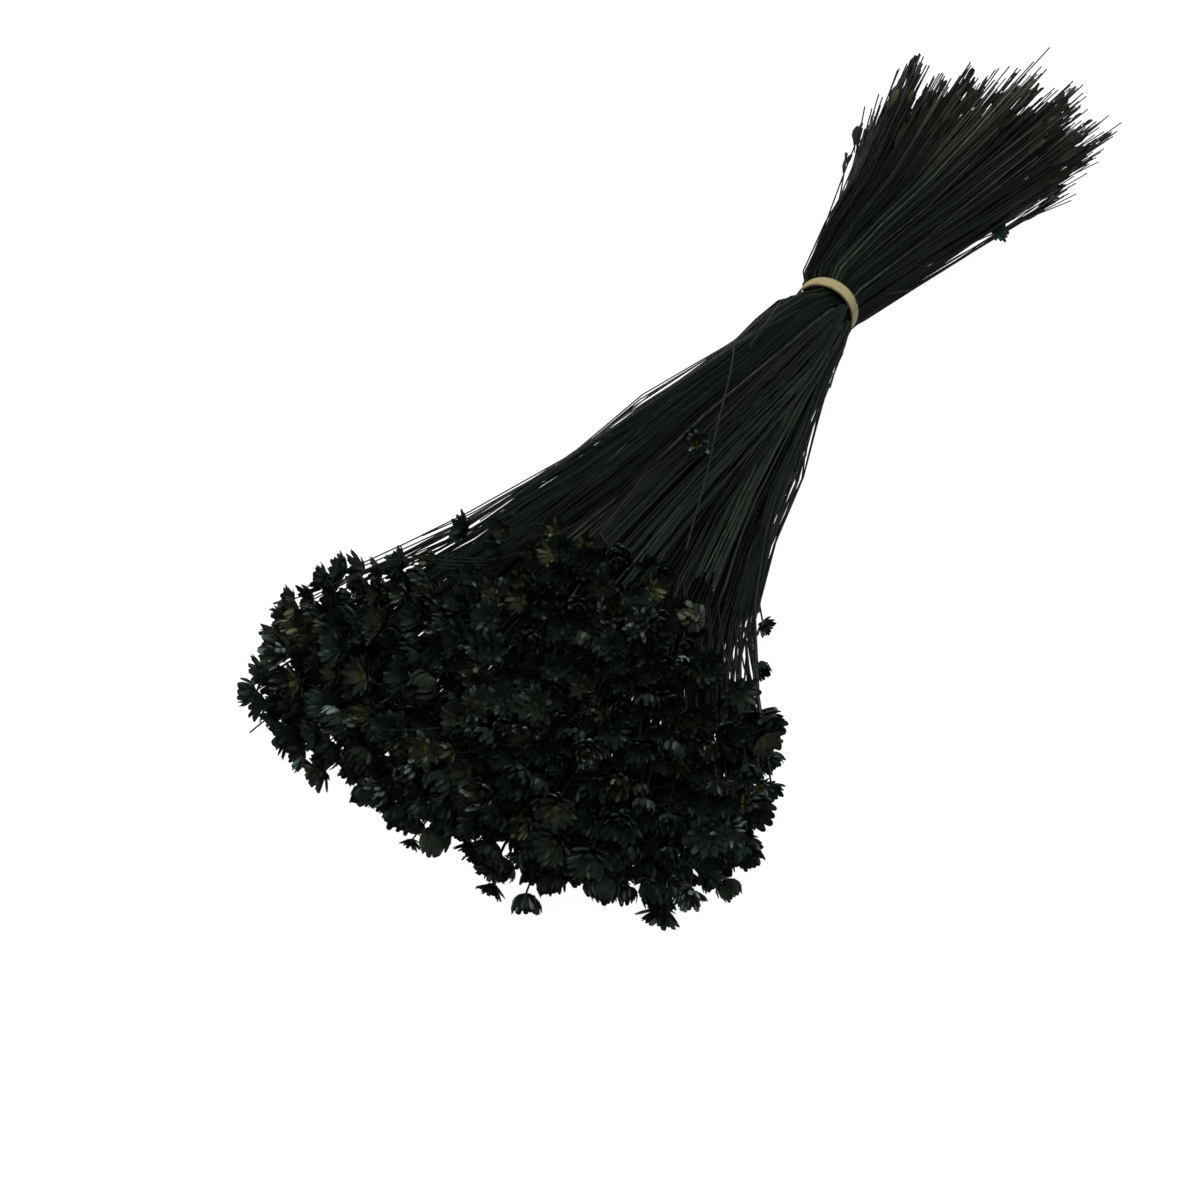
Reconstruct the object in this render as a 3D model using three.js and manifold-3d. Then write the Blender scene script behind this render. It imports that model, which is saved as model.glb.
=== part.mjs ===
// A bunch of dried glixia lying on its side: thin straight stalks, each with one star-shaped flower head,
// tied by a rubber band. Millimetres. The heads are at -Y, the cut ends at +Y, and +Z is up.
// Stalks that lie side by side in the tie are fused there, so that seven of them make one spray.

import * as THREE from 'three';
import Module from 'manifold-3d';

const wasm = await Module();
wasm.setup();

// The bunch as a whole: the line through its middle, the dome of heads in front of the tie, and the cut ends
// behind it. "Along" is always a distance from the tie, towards the heads.
const AXIS_HEIGHT = 28.6;
const TIE_RADIUS = 10.4;
const TIE_TWIST = THREE.MathUtils.degToRad(60);
const CREST_ALONG = 246;
const FURTHEST_ALONG = 251;
const SIDE_SKEW = 4;
const SIDE_FALL = 30;
const UNDER_FALL = 62;
const TOP_FALL = 88;
const TOP_SKEW = 0.6;
const SIDE_SPREAD = 0.15;
const TOP_SPREAD = 0.41;
const HEADS_HALF_WIDTH = 74;
const HEADS_HALF_HEIGHT = 24;
const HEADS_SHIFT = -3;
const CUT_TWIST = THREE.MathUtils.degToRad(75);
const CUT_ALONG = 142;
const CUT_SKEW = 9;
const CUT_HALF_WIDTH = 54;
const CUT_SHIFT = 9;
const CUT_HALF_HEIGHT = 27;

// The tie: a honeycomb of sprays with a small gap between them
const SPRAY_PITCH = 2.8;
const SPRAY_RINGS = Math.sqrt(12) + 0.01;
const SPRAY_GAP = 0.36;
const CORE_SIDES = 6;
const CORE_RADIUS = (SPRAY_PITCH - SPRAY_GAP) / Math.sqrt(3);
const CORE_TURN = Math.PI / CORE_SIDES;
const CORE_HALF_LENGTH = 2.5;

// Stalks
const STALKS_PER_SPRAY = 7;
const STALK_RING = 0.8;
const STALK_STEP = THREE.MathUtils.degToRad(61);
const STALK_RADIUS = 0.4;
const STALK_SIDES = 3;
const STALK_TURN = 0.2;
const BEND_ALONG = 160;
const BEND_INWARDS = 0.9;
const BEND_SHIFT = -4.3;
const LENGTH_SCATTER = 12;
const SIDE_SCATTER = 34;
const CUT_MEMBERS = [1, 3, 5];
const CUT_SCATTER = 18;
const SHEATH_LENGTH = 13;
const SHEATH_RADIUS = 1.1;
const SHEATH_WIDEST = 0.4;
const SHEATH_TIP = 0.7;

// Flower heads. A pair of shares of the head's radius is for a closed bud and a wide open head.
const HEAD_RAYS = 7;
const BUD_RAYS = 5;
const BUD_OPENING = 0.5;
const HEAD_SMALLEST = 4.3;
const HEAD_LARGEST = 6.1;
const HEAD_MIDDLE = 0.45;
const HEAD_LEAN = 0.5;
const HEAD_SCATTER = 0.9;
const TIP_REACH = [0.55, 1];
const TIP_HEIGHT = [1.35, 0.6];
const NOTCH_REACH = [0.75, 0.6];
const NOTCH_HEIGHT = 0.78;
const DOME_RISE = 0.16;

// Heads that stand on their own, outside the dome: across, along, height and radius
const LONE_HEADS = [
  [0, 107, 50, 4.6],
  [-40, 178, 56, 4.8],
  [42, 156, 36, 4.6],
  [49, 178, 24, 5],
  [63, 190, 24, 5.2],
  [70, 205, 30, 5],
  [-76, 199, 38, 5],
  [-78, 212, 36, 5.4],
  [-17, 249, 7, 3.2],
  [10, 252, 6, 4.2],
  [20, 251, 6, 5.4],
  [48, 232, 6, 5],
  [57, 229, 6, 4.4],
  [66, 222, 7, 4.8],
];
const TURNED_HEAD = [34, -84, 21, 3.6];

// How the heads settle among each other
const SETTLE_ROUNDS = 240;
const PULL_ROUNDS = 150;
const HOME_PULL = 0.02;
const HOLD_SHARE = 0.88;
const STALK_CLEARANCE = 0.9;
const STALK_SPACING = 1.25;
const LONE_BEND_SHARE = 0.8;
const FURTHEST_SETTLED = 14;
const LOWEST_SHARE = 0.75;
const HEADROOM = 2;
const TOUCH_MARGIN = 1;
const LEAST_SHARE = 0.02;
const FIT_TRIES = 80;
const FIT_NUDGE = 4;
const FIT_SMALLEST = 0.7;

// The rubber band, wound flat round the tie and leaning back at the top
const BAND_CLEARANCE = 0.65;
const BAND_THICKNESS = 1;
const BAND_WIDTH = 3.6;
const BAND_TILT = THREE.MathUtils.degToRad(15);
const BAND_SEGMENTS = 28;

const STALK_COLOUR = 0x1c211d;
const BAND_COLOUR = 0xa6996f;

const SEED = 20731;
const X_AXIS = new THREE.Vector3(1, 0, 0);

// A repeatable stream of random numbers between 0 and 1
function makeRandom(seed) {
  let state = seed;
  return () => {
    state = (state * 16807) % 2147483647;
    return state / 2147483647;
  };
}

function direction(from, to) {
  return new THREE.Vector3().subVectors(to, from).normalize();
}

// A closed surface that is put together from rings of points. A ring runs counter-clockwise round its own
// direction of growth, so that the faces from one ring to the next point outwards.
class Shell {
  constructor() {
    this.points = [];
    this.faces = [];
  }

  point(position) {
    this.points.push(position.x, position.y, position.z);
    return this.points.length / 3 - 1;
  }

  // radiusAt and heightAt give each point's distance from the centre line and its rise along it
  ring(centre, way, sides, radiusAt, heightAt = () => 0, turn = 0) {
    const across = X_AXIS.clone().addScaledVector(way, -way.x).normalize();
    const up = new THREE.Vector3().crossVectors(way, across);
    const ring = [];
    for (let i = 0; i < sides; i++) {
      const angle = turn + i * 2 * Math.PI / sides;
      const place = centre.clone().addScaledVector(way, heightAt(i));
      place.addScaledVector(across, radiusAt(i) * Math.cos(angle));
      place.addScaledVector(up, radiusAt(i) * Math.sin(angle));
      ring.push(this.point(place));
    }
    return ring;
  }

  stalkRing(centre, way, radius = STALK_RADIUS) {
    return this.ring(centre, way, STALK_SIDES, () => radius, () => 0, STALK_TURN);
  }

  coreRing(centre, way) {
    return this.ring(centre, way, CORE_SIDES, () => CORE_RADIUS, () => 0, CORE_TURN);
  }

  bridge(from, to) {
    for (let i = 0; i < from.length; i++) {
      const next = (i + 1) % from.length;
      this.faces.push(from[i], from[next], to[next], from[i], to[next], to[i]);
    }
  }

  // Joins a ring to one with more points, whose first point stands at the angle turn
  flare(from, to, turn) {
    const nearest = (i) => {
      const turns = 1 + turn / (2 * Math.PI) + i / to.length;
      return from[Math.round(turns * from.length) % from.length];
    };
    for (let i = 0; i < to.length; i++) {
      const here = nearest(i);
      const next = nearest(i + 1);
      const rimNext = to[(i + 1) % to.length];
      this.faces.push(here, rimNext, to[i]);
      if (here !== next) this.faces.push(here, next, rimNext);
    }
  }

  fan(ring, centre) {
    for (let i = 0; i < ring.length; i++) {
      this.faces.push(ring[i], ring[(i + 1) % ring.length], centre);
    }
  }

  // A flat face inside an outline, round the feet of the stalks that leave it. It faces along way.
  plate(outline, feet, way) {
    const across = X_AXIS.clone().addScaledVector(way, -way.x).normalize();
    const up = new THREE.Vector3().crossVectors(way, across);
    const flat = (index) => {
      const place = new THREE.Vector3().fromArray(this.points, 3 * index);
      return new THREE.Vector2(place.dot(across), place.dot(up));
    };
    const indices = [outline, ...feet].flat();
    const holes = feet.map((foot) => foot.map(flat));
    const triangles = THREE.ShapeUtils.triangulateShape(outline.map(flat), holes);
    const corners = triangles.flat().map((corner) => indices[corner]);
    const area = (a, b, c) => THREE.ShapeUtils.area([a, b, c].map(flat));
    let facing = 0;
    for (let i = 0; i < corners.length; i += 3) facing += area(...corners.slice(i, i + 3));
    this.faces.push(...(facing > 0 ? corners : corners.reverse()));
  }

  solid() {
    return new wasm.Manifold(new wasm.Mesh({
      numProp: 3,
      vertProperties: new Float32Array(this.points),
      triVerts: new Uint32Array(this.faces),
    }));
  }
}

// Centres of the honeycomb cells, in millimetres from the middle of the tie
function honeycomb() {
  const cells = [];
  const reach = Math.ceil(2 * SPRAY_RINGS);
  for (let a = -reach; a <= reach; a++) {
    for (let b = -reach; b <= reach; b++) {
      const cell = new THREE.Vector2(a + b / 2, b * Math.sqrt(3) / 2);
      if (cell.length() <= SPRAY_RINGS) cells.push(cell.multiplyScalar(SPRAY_PITCH));
    }
  }
  return cells;
}

// Where one stalk of a spray sits in the unit disc: one in the middle of the cell and the rest round it
function stalkPlace(cell, member) {
  const place = cell.clone();
  if (member > 0) {
    const turn = member * STALK_STEP;
    place.add(new THREE.Vector2(Math.cos(turn), Math.sin(turn)).multiplyScalar(STALK_RING));
  }
  return place.divideScalar(TIE_RADIUS);
}

// A place in the unit disc, carried round by the twist of the bunch
function twisted(place, angle) {
  return place.clone().rotateAround(new THREE.Vector2(), -angle);
}

// Where a stalk passes the tie. The bunch is twisted, so a stalk at the top here leads to one side in front.
function tiePoint(place) {
  const turned = twisted(place, TIE_TWIST).multiplyScalar(TIE_RADIUS);
  return new THREE.Vector3(turned.x, 0, AXIS_HEIGHT + turned.y);
}

// Where a stalk ends on the dome of heads, which falls away to its sides and more to its top and underside.
// On top the heads reach back further on the +X side.
// The stalks share out its surface, and the straight lines from the tie to these points never cross.
function domePoint(place) {
  const inside = 1 - place.lengthSq();
  const fall = place.y < 0 ? UNDER_FALL : TOP_FALL * (1 + TOP_SKEW * place.x);
  return new THREE.Vector3(
    HEADS_SHIFT + HEADS_HALF_WIDTH * (1 + SIDE_SPREAD * inside) * place.x,
    -CREST_ALONG - SIDE_SKEW * place.x + SIDE_FALL * place.x ** 2 + fall * place.y ** 2,
    AXIS_HEIGHT + HEADS_HALF_HEIGHT * (1 + TOP_SPREAD * inside) * place.y,
  );
}

// Where a stalk ends behind the tie. The fan of cut ends reaches a little further on one side.
function cutPoint(place) {
  const turned = twisted(place, CUT_TWIST);
  return new THREE.Vector3(
    CUT_SHIFT + CUT_HALF_WIDTH * turned.x,
    CUT_ALONG + CUT_SKEW * turned.x,
    AXIS_HEIGHT + CUT_HALF_HEIGHT * turned.y,
  );
}

// One stalk with its flower head, before the heads settle
function drawStalk(spray, place, random) {
  const start = tiePoint(place);
  const dome = domePoint(place);
  const longer = (LENGTH_SCATTER + SIDE_SCATTER * place.x ** 2) * (random() - 0.5);
  const home = dome.clone().addScaledVector(direction(start, dome), longer);
  const scatter = new THREE.Vector3(random() - 0.5, random() - 0.5, random() - 0.5);
  const bend = start.clone().lerp(home, -BEND_ALONG / home.y);
  bend.x = BEND_INWARDS * bend.x + BEND_SHIFT;
  return {
    spray,
    start,
    bend,
    home,
    head: home.clone(),
    radius: THREE.MathUtils.lerp(HEAD_SMALLEST, HEAD_LARGEST, random()),
    open: Math.sqrt(random()),
    scatter: scatter.multiplyScalar(HEAD_SCATTER),
    turn: random(),
    lone: false,
  };
}

function placeAt([across, along, height]) {
  return new THREE.Vector3(across, -along, height);
}

// Which of some straight lines passes nearest to a place
function nearestLine(lines, place) {
  const passing = new THREE.Vector3();
  const misses = lines.map((line) => line.closestPointToPoint(place, true, passing).distanceTo(place));
  return misses.indexOf(Math.min(...misses));
}

// Gives a lone head to the stalk that passes nearest to its place
function placeLoneHead(lone, stalks) {
  const free = stalks.filter((stalk) => !stalk.lone);
  const home = placeAt(lone);
  const stalk = free[nearestLine(free.map(({ start, home: end }) => new THREE.Line3(start, end)), home)];
  const bendShare = Math.min(1, LONE_BEND_SHARE * home.y / stalk.bend.y);
  stalk.bend.lerpVectors(stalk.start, stalk.bend, bendShare);
  stalk.home.copy(home);
  stalk.head.copy(home);
  stalk.radius = lone[3];
  stalk.lone = true;
}

// The closest two places of the last stretches of two stalks, as shares of each stretch
function closestShares(a, b) {
  const alongA = new THREE.Vector3().subVectors(a.head, a.bend);
  const alongB = new THREE.Vector3().subVectors(b.head, b.bend);
  const between = new THREE.Vector3().subVectors(a.bend, b.bend);
  const aa = alongA.dot(alongA);
  const bb = alongB.dot(alongB);
  const ab = alongA.dot(alongB);
  const fromA = alongA.dot(between);
  const fromB = alongB.dot(between);
  const spread = Math.max(aa * bb - ab * ab, 1e-9);
  const first = THREE.MathUtils.clamp((ab * fromB - fromA * bb) / spread, 0, 1);
  const shareB = THREE.MathUtils.clamp((ab * first + fromB) / bb, 0, 1);
  const shareA = THREE.MathUtils.clamp((ab * shareB - fromA) / aa, 0, 1);
  return [shareA, shareB];
}

// Moves two heads so that a place on each one's stalk comes to be `reach` away from the other
function pushApart(a, placeA, shareA, b, placeB, shareB, reach) {
  const push = new THREE.Vector3().subVectors(placeA, placeB);
  const distance = push.length();
  if (distance >= reach || distance === 0 || shareA + shareB < LEAST_SHARE) return;
  push.multiplyScalar((reach - distance) / distance / (shareA + shareB));
  if (!a.lone) a.head.addScaledVector(push, shareA);
  if (!b.lone) b.head.addScaledVector(push, -shareB);
}

function keepStalksApart(a, b) {
  const [shareA, shareB] = closestShares(a, b);
  const placeA = new THREE.Vector3().lerpVectors(a.bend, a.head, shareA);
  const placeB = new THREE.Vector3().lerpVectors(b.bend, b.head, shareB);
  pushApart(a, placeA, shareA, b, placeB, shareB, STALK_SPACING);
}

function keepHeadOffStalk(a, b) {
  const line = new THREE.Line3(b.bend, b.head);
  const share = line.closestPointToPointParameter(a.head, true);
  const placeB = line.at(share, new THREE.Vector3());
  pushApart(a, a.head, 1, b, placeB, share, HOLD_SHARE * a.radius + STALK_CLEARANCE);
}

function confine(stalk) {
  const { head, home, radius } = stalk;
  head.sub(home).clampLength(0, FURTHEST_SETTLED).add(home);
  const lowest = LOWEST_SHARE * radius;
  head.z = THREE.MathUtils.clamp(head.z, lowest, 2 * AXIS_HEIGHT + HEADROOM - lowest);
  head.y = THREE.MathUtils.clamp(head.y, -FURTHEST_ALONG, -BEND_ALONG - radius);
}

// Lets the heads push each other and each other's stalks aside until they lie side by side
function settle(stalks) {
  for (let round = 0; round < SETTLE_ROUNDS; round++) {
    stalks.forEach((a, index) => {
      for (const b of stalks.slice(index + 1)) {
        pushApart(a, a.head, 1, b, b.head, 1, HOLD_SHARE * (a.radius + b.radius));
        keepHeadOffStalk(a, b);
        keepHeadOffStalk(b, a);
        keepStalksApart(a, b);
      }
    });
    for (const stalk of stalks) {
      if (stalk.lone) continue;
      if (round < PULL_ROUNDS) stalk.head.lerp(stalk.home, HOME_PULL);
      confine(stalk);
    }
  }
}

// The way a head faces: on along its stalk, and a little outwards
function aimHead(stalk) {
  const outwards = new THREE.Vector3(
    stalk.head.x / HEADS_HALF_WIDTH, 0, (stalk.head.z - AXIS_HEIGHT) / HEADS_HALF_HEIGHT);
  stalk.aim = direction(stalk.bend, stalk.head).addScaledVector(outwards, HEAD_LEAN);
  stalk.aim.add(stalk.scatter).normalize();
}

// Grows a stalk from its foot up to its flower head. The head is a cup of pointed rays round a domed centre:
// an open one is wide and shallow, and a bud is narrow and tall.
function growFlower(shell, foot, stalk) {
  const { start, bend, head, aim, open } = stalk;
  const radius = stalk.radius * stalk.size;
  const base = head.clone().addScaledVector(aim, -HEAD_MIDDLE * radius);
  const first = direction(start, bend);
  const last = direction(bend, base);
  const middle = shell.stalkRing(bend, first.add(last).normalize());
  const neck = shell.stalkRing(base, last.add(aim).normalize());
  const tipRadius = radius * THREE.MathUtils.lerp(...TIP_REACH, open);
  const tipHeight = radius * THREE.MathUtils.lerp(...TIP_HEIGHT, open);
  const notchRadius = tipRadius * THREE.MathUtils.lerp(...NOTCH_REACH, open);
  const notchHeight = tipHeight * NOTCH_HEIGHT;
  const domeHeight = notchHeight + DOME_RISE * radius;
  const rays = open > BUD_OPENING ? HEAD_RAYS : BUD_RAYS;
  const isTip = (i) => i % 2 === 0;
  const spin = stalk.turn * 2 * Math.PI / rays;
  const rim = shell.ring(base, aim, 2 * rays, (i) => (isTip(i) ? tipRadius : notchRadius),
    (i) => (isTip(i) ? tipHeight : notchHeight), spin);
  const dome = shell.point(base.clone().addScaledVector(aim, domeHeight));
  shell.bridge(foot, middle);
  shell.bridge(middle, neck);
  shell.flare(neck, rim, spin - STALK_TURN);
  shell.fan(rim, dome);
}

function flowerSolid(stalk) {
  const shell = new Shell();
  const way = direction(stalk.start, stalk.bend);
  const foot = shell.stalkRing(stalk.start, way);
  shell.plate(foot, [], way.clone().negate());
  growFlower(shell, foot, stalk);
  return shell.solid();
}

function couldTouch(a, b) {
  if (a.lone || b.lone) return true;
  if (a.head.distanceTo(b.head) < a.radius + b.radius) return true;
  const lineA = new THREE.Line3(a.bend, a.head);
  const lineB = new THREE.Line3(b.bend, b.head);
  const placeA = new THREE.Vector3();
  const placeB = new THREE.Vector3();
  const passes = (head, line) => line.closestPointToPoint(head, true, placeA).distanceTo(head);
  if (passes(a.head, lineB) < a.radius + TOUCH_MARGIN) return true;
  if (passes(b.head, lineA) < b.radius + TOUCH_MARGIN) return true;
  const [shareA, shareB] = closestShares(a, b);
  return lineA.at(shareA, placeA).distanceTo(lineB.at(shareB, placeB)) < 2 * STALK_RADIUS;
}

function sharedVolume(solid, others) {
  let volume = 0;
  for (const other of others) volume += solid.intersect(other.solid).volume();
  return volume;
}

// Turns each head on its stalk until it is clear of all heads and stalks that were fitted before it, the lone
// ones last. A head that turning alone doesn't clear is moved a little and made a little smaller at each try.
function fitHeads(stalks, random) {
  const fitted = [];
  for (const stalk of stalks.toSorted((a, b) => a.lone - b.lone)) {
    const settled = stalk.head.clone();
    let shared = Infinity;
    for (let attempt = 0; attempt < FIT_TRIES && shared > 0; attempt++) {
      const effort = attempt / FIT_TRIES;
      const nudge = new THREE.Vector3(random() - 0.5, random() - 0.5, random() - 0.5);
      stalk.head.copy(settled).addScaledVector(nudge, 2 * FIT_NUDGE * effort);
      stalk.size = THREE.MathUtils.lerp(1, FIT_SMALLEST, effort);
      stalk.turn = random();
      stalk.solid = flowerSolid(stalk);
      shared = sharedVolume(stalk.solid, fitted.filter((other) => couldTouch(stalk, other)));
    }
    fitted.push(stalk);
  }
}

// The stretch of a stalk behind the tie, lengthened or shortened along its own line
function drawCutStalk(spray, place, random) {
  const start = tiePoint(place);
  const end = cutPoint(place);
  const longer = CUT_SCATTER * (random() - 0.5);
  return { spray, place, start, end: end.addScaledVector(direction(start, end), longer) };
}

// Makes the cut stalk that passes nearest to the turned head's place carry that head
function placeTurnedHead(turned, cutStalks) {
  const head = placeAt(turned);
  const cut = cutStalks[nearestLine(cutStalks.map(({ start, end }) => new THREE.Line3(start, end)), head)];
  const bend = cut.start.clone().lerp(cut.end, LONE_BEND_SHARE * head.y / cut.end.y);
  const aim = direction(bend, head);
  Object.assign(cut, { bend, head, aim, radius: turned[3], size: 1, open: 1, turn: 0 });
}

// Lets a cut stalk run back from its foot. A sheathed one ends in the dry sheath of its lowest leaf.
function growCutEnd(shell, foot, { start, end }, sheathed) {
  const way = direction(start, end);
  let last = foot;
  const stretch = (distance, radius) => {
    const place = end.clone().addScaledVector(way, -distance);
    const ring = shell.stalkRing(place, way, radius);
    shell.bridge(last, ring);
    last = ring;
  };
  if (sheathed) {
    stretch(SHEATH_LENGTH, STALK_RADIUS);
    stretch(SHEATH_WIDEST * SHEATH_LENGTH, SHEATH_RADIUS);
    stretch(0, SHEATH_TIP * SHEATH_RADIUS);
  } else {
    stretch(0, STALK_RADIUS);
  }
  shell.plate(last, [], way);
}

// One spray: a short core in the tie, flowering stalks out of its front and cut stalks out of its back
function sprayGeometry(cell, own, cuts) {
  const shell = new Shell();
  const place = cell.clone().divideScalar(TIE_RADIUS);
  const middle = tiePoint(place);
  const way = direction(middle, domePoint(place));
  const back = way.clone().negate();
  const frontMiddle = middle.clone().addScaledVector(way, CORE_HALF_LENGTH);
  const backMiddle = middle.clone().addScaledVector(way, -CORE_HALF_LENGTH);
  const front = shell.coreRing(frontMiddle, way);
  const rear = shell.coreRing(backMiddle, way);
  shell.bridge(rear, front);

  const footAt = (own, faceMiddle, faceWay) => {
    const offset = tiePoint(own).sub(middle);
    offset.addScaledVector(way, -offset.dot(way));
    return shell.stalkRing(faceMiddle.clone().add(offset), faceWay);
  };
  const feet = own.map((stalk, member) => footAt(stalkPlace(cell, member), frontMiddle, way));
  shell.plate(front, feet, way);
  own.forEach((stalk, member) => growFlower(shell, feet[member], stalk));

  const cutFeet = cuts.map((cut) => footAt(cut.place, backMiddle, back));
  shell.plate(rear, cutFeet, back);
  cuts.forEach((cut, i) => {
    if (cut.head) growFlower(shell, cutFeet[i], cut);
    else growCutEnd(shell, cutFeet[i], cut, i === 0);
  });
  return toGeometry(shell.solid().trimByPlane([0, 0, 1], 0));
}

function toGeometry(solid) {
  const mesh = solid.getMesh();
  const geometry = new THREE.BufferGeometry();
  geometry.setAttribute('position', new THREE.BufferAttribute(mesh.vertProperties, 3));
  geometry.setIndex(new THREE.BufferAttribute(mesh.triVerts, 1));
  return geometry;
}

// The band is a ring with a flat rectangular section
function bandGeometry() {
  const reach = SPRAY_RINGS * SPRAY_PITCH + CORE_RADIUS;
  const inner = reach + BAND_CLEARANCE;
  const outer = inner + BAND_THICKNESS;
  const half = BAND_WIDTH / 2;
  const profile = [[inner, -half], [outer, -half], [outer, half], [inner, half], [inner, -half]];
  const geometry = new THREE.LatheGeometry(profile.map(([x, y]) => new THREE.Vector2(x, y)), BAND_SEGMENTS);
  geometry.rotateX(-BAND_TILT);
  geometry.translate(0, 0, AXIS_HEIGHT);
  return geometry;
}

const random = makeRandom(SEED);
const cells = honeycomb();
const stalks = cells.flatMap((cell, spray) => (
  Array.from({ length: STALKS_PER_SPRAY }, (_, member) => drawStalk(spray, stalkPlace(cell, member), random))
));
for (const lone of LONE_HEADS) placeLoneHead(lone, stalks);
settle(stalks);
stalks.forEach(aimHead);
fitHeads(stalks, random);

const cutStalks = cells.flatMap((cell, spray) => (
  CUT_MEMBERS.map((member) => drawCutStalk(spray, stalkPlace(cell, member), random))
));
placeTurnedHead(TURNED_HEAD, cutStalks);

const group = new THREE.Group();

function addPart(name, geometry, color, roughness) {
  const mesh = new THREE.Mesh(geometry, new THREE.MeshStandardMaterial({ color, roughness }));
  mesh.name = name;
  group.add(mesh);
}

cells.forEach((cell, spray) => {
  const own = stalks.filter((stalk) => stalk.spray === spray);
  const cuts = cutStalks.filter((cut) => cut.spray === spray);
  const name = `spray_${String(spray + 1).padStart(2, '0')}`;
  addPart(name, sprayGeometry(cell, own, cuts), STALK_COLOUR, 0.85);
});
addPart('rubber_band', bandGeometry(), BAND_COLOUR, 0.7);

// The origin is the middle of the bounding box's underside
const bounds = new THREE.Box3().setFromObject(group);
const centre = bounds.getCenter(new THREE.Vector3());
group.position.set(-centre.x, -centre.y, -bounds.min.z);

export default group;
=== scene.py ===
"""The looks of a tied bunch of dried glixia, dyed black and lying on its side.

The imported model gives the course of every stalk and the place, size and opening of every flower head. Here
each head gets its layers of papery bracts, each stalk is a thin round stem that runs on through the tie, the
cut ends get their dry leaf sheaths, and the tie is a flat rubber band. All sizes are in metres, in the
model's own frame: the heads are at -Y, the cut ends at +Y, and +Z is up.
"""

import logging
import math
import random
from collections.abc import Callable, Iterable, Iterator
from contextlib import contextmanager
from dataclasses import dataclass, field, replace
from enum import Enum
from typing import ClassVar

import bmesh
import bpy
from bpy.types import Camera, Light, Material, Node, NodeSocket, NodeTree, Object
from mathutils import Matrix, Vector


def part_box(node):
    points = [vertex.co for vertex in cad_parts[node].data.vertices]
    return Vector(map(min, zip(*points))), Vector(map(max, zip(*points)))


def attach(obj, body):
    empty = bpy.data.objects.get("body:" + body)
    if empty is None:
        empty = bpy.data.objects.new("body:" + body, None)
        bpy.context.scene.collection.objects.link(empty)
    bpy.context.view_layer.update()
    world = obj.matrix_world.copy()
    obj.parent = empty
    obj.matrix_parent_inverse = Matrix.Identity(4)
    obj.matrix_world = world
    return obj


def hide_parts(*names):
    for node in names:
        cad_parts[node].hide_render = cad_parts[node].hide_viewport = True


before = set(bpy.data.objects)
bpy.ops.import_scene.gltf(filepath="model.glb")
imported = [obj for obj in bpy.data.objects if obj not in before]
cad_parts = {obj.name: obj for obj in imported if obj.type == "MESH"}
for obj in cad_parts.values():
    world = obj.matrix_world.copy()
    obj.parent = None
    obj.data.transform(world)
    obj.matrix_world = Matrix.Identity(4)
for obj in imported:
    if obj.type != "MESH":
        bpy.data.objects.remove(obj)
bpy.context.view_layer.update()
ROOT = "root"
BAND_NODE = "rubber_band"
UP = Vector((0, 0, 1))
LOG = logging.getLogger("glixia")

# How near a vertex must be to a place to count as being there, and two of a bract's to be merged.
NEAR = 1e-4
WELD = 1e-5

Colour = tuple[float, float, float, float]
Place = tuple[float, float, float]
Route = tuple[Place, ...]
Course = list[Vector]


def vector(*sides: float) -> Vector:
    """A dataclass field that starts out as a vector of its own."""
    return field(default_factory=lambda: Vector(sides))


def mix(start: float, end: float, share: float) -> float:
    """The value that lies a share of the way from start to end."""
    return start + (end - start) * share


def around(draw: random.Random, spread: float) -> float:
    """A random number between minus and plus the spread."""
    return draw.uniform(-spread, spread)


def scattered(draw: random.Random, spread: Vector) -> Vector:
    """A random offset inside a box with these half sides."""
    return Vector([around(draw, side) for side in spread])


def take(*pieces: Object) -> None:
    """Selects these objects and nothing else, and makes the first one active.

    Args:
        pieces: The objects.
    """
    bpy.ops.object.select_all(action="DESELECT")
    for piece in pieces:
        piece.select_set(True)
    bpy.context.view_layer.objects.active = pieces[0]


@contextmanager
def editing(piece: Object) -> Iterator[None]:
    """Holds an object in edit mode while a block of code runs.

    Args:
        piece: The object.

    Yields:
        Nothing.
    """
    take(piece)
    bpy.ops.object.mode_set(mode="EDIT")
    yield
    bpy.ops.object.mode_set(mode="OBJECT")


def pick(piece: Object, chosen: Callable[[Vector], bool]) -> None:
    """Selects vertices by their place, in edit mode.

    Args:
        piece: The object that is being edited.
        chosen: Says whether a vertex at a place is wanted.
    """
    bpy.ops.mesh.select_all(action="DESELECT")
    mesh = bmesh.from_edit_mesh(piece.data)
    for vertex in mesh.verts:
        vertex.select_set(chosen(vertex.co))
    mesh.select_flush_mode()
    bmesh.update_edit_mesh(piece.data)


def finish_modifier(piece: Object, kind: str, **settings: object) -> None:
    """Adds a modifier and applies it.

    Args:
        piece: The object that it shapes.
        kind: Blender's name for the modifier type.
        settings: The modifier's own values.
    """
    take(piece)
    modifier = piece.modifiers.new(kind.title(), kind)
    for name, value in settings.items():
        setattr(modifier, name, value)
    bpy.ops.object.modifier_apply(modifier=modifier.name)


def smooth(piece: Object, sharpest: float) -> None:
    """Shades a piece smooth, but for the edges that bend by more than this many degrees."""
    take(piece)
    bpy.ops.object.shade_smooth_by_angle(angle=math.radians(sharpest))


def copy_of(model: Object, place: Matrix) -> Object:
    """A copy with its own mesh, whose place is in that mesh.

    Args:
        model: The piece that is copied.
        place: Where the copy goes, turned and scaled.

    Returns:
        The new object, at the origin.
    """
    copy = model.copy()
    copy.data = model.data.copy()
    copy.data.transform(place)
    bpy.context.collection.objects.link(copy)
    return copy


def joined(parts: list[Object], name: str) -> Object:
    """Joins several objects into one piece.

    Args:
        parts: The objects, which are used up.
        name: The piece's name.

    Returns:
        The piece.
    """
    take(*parts)
    bpy.ops.object.join()
    parts[0].name = name
    parts[0].data.name = name
    return parts[0]


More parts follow.
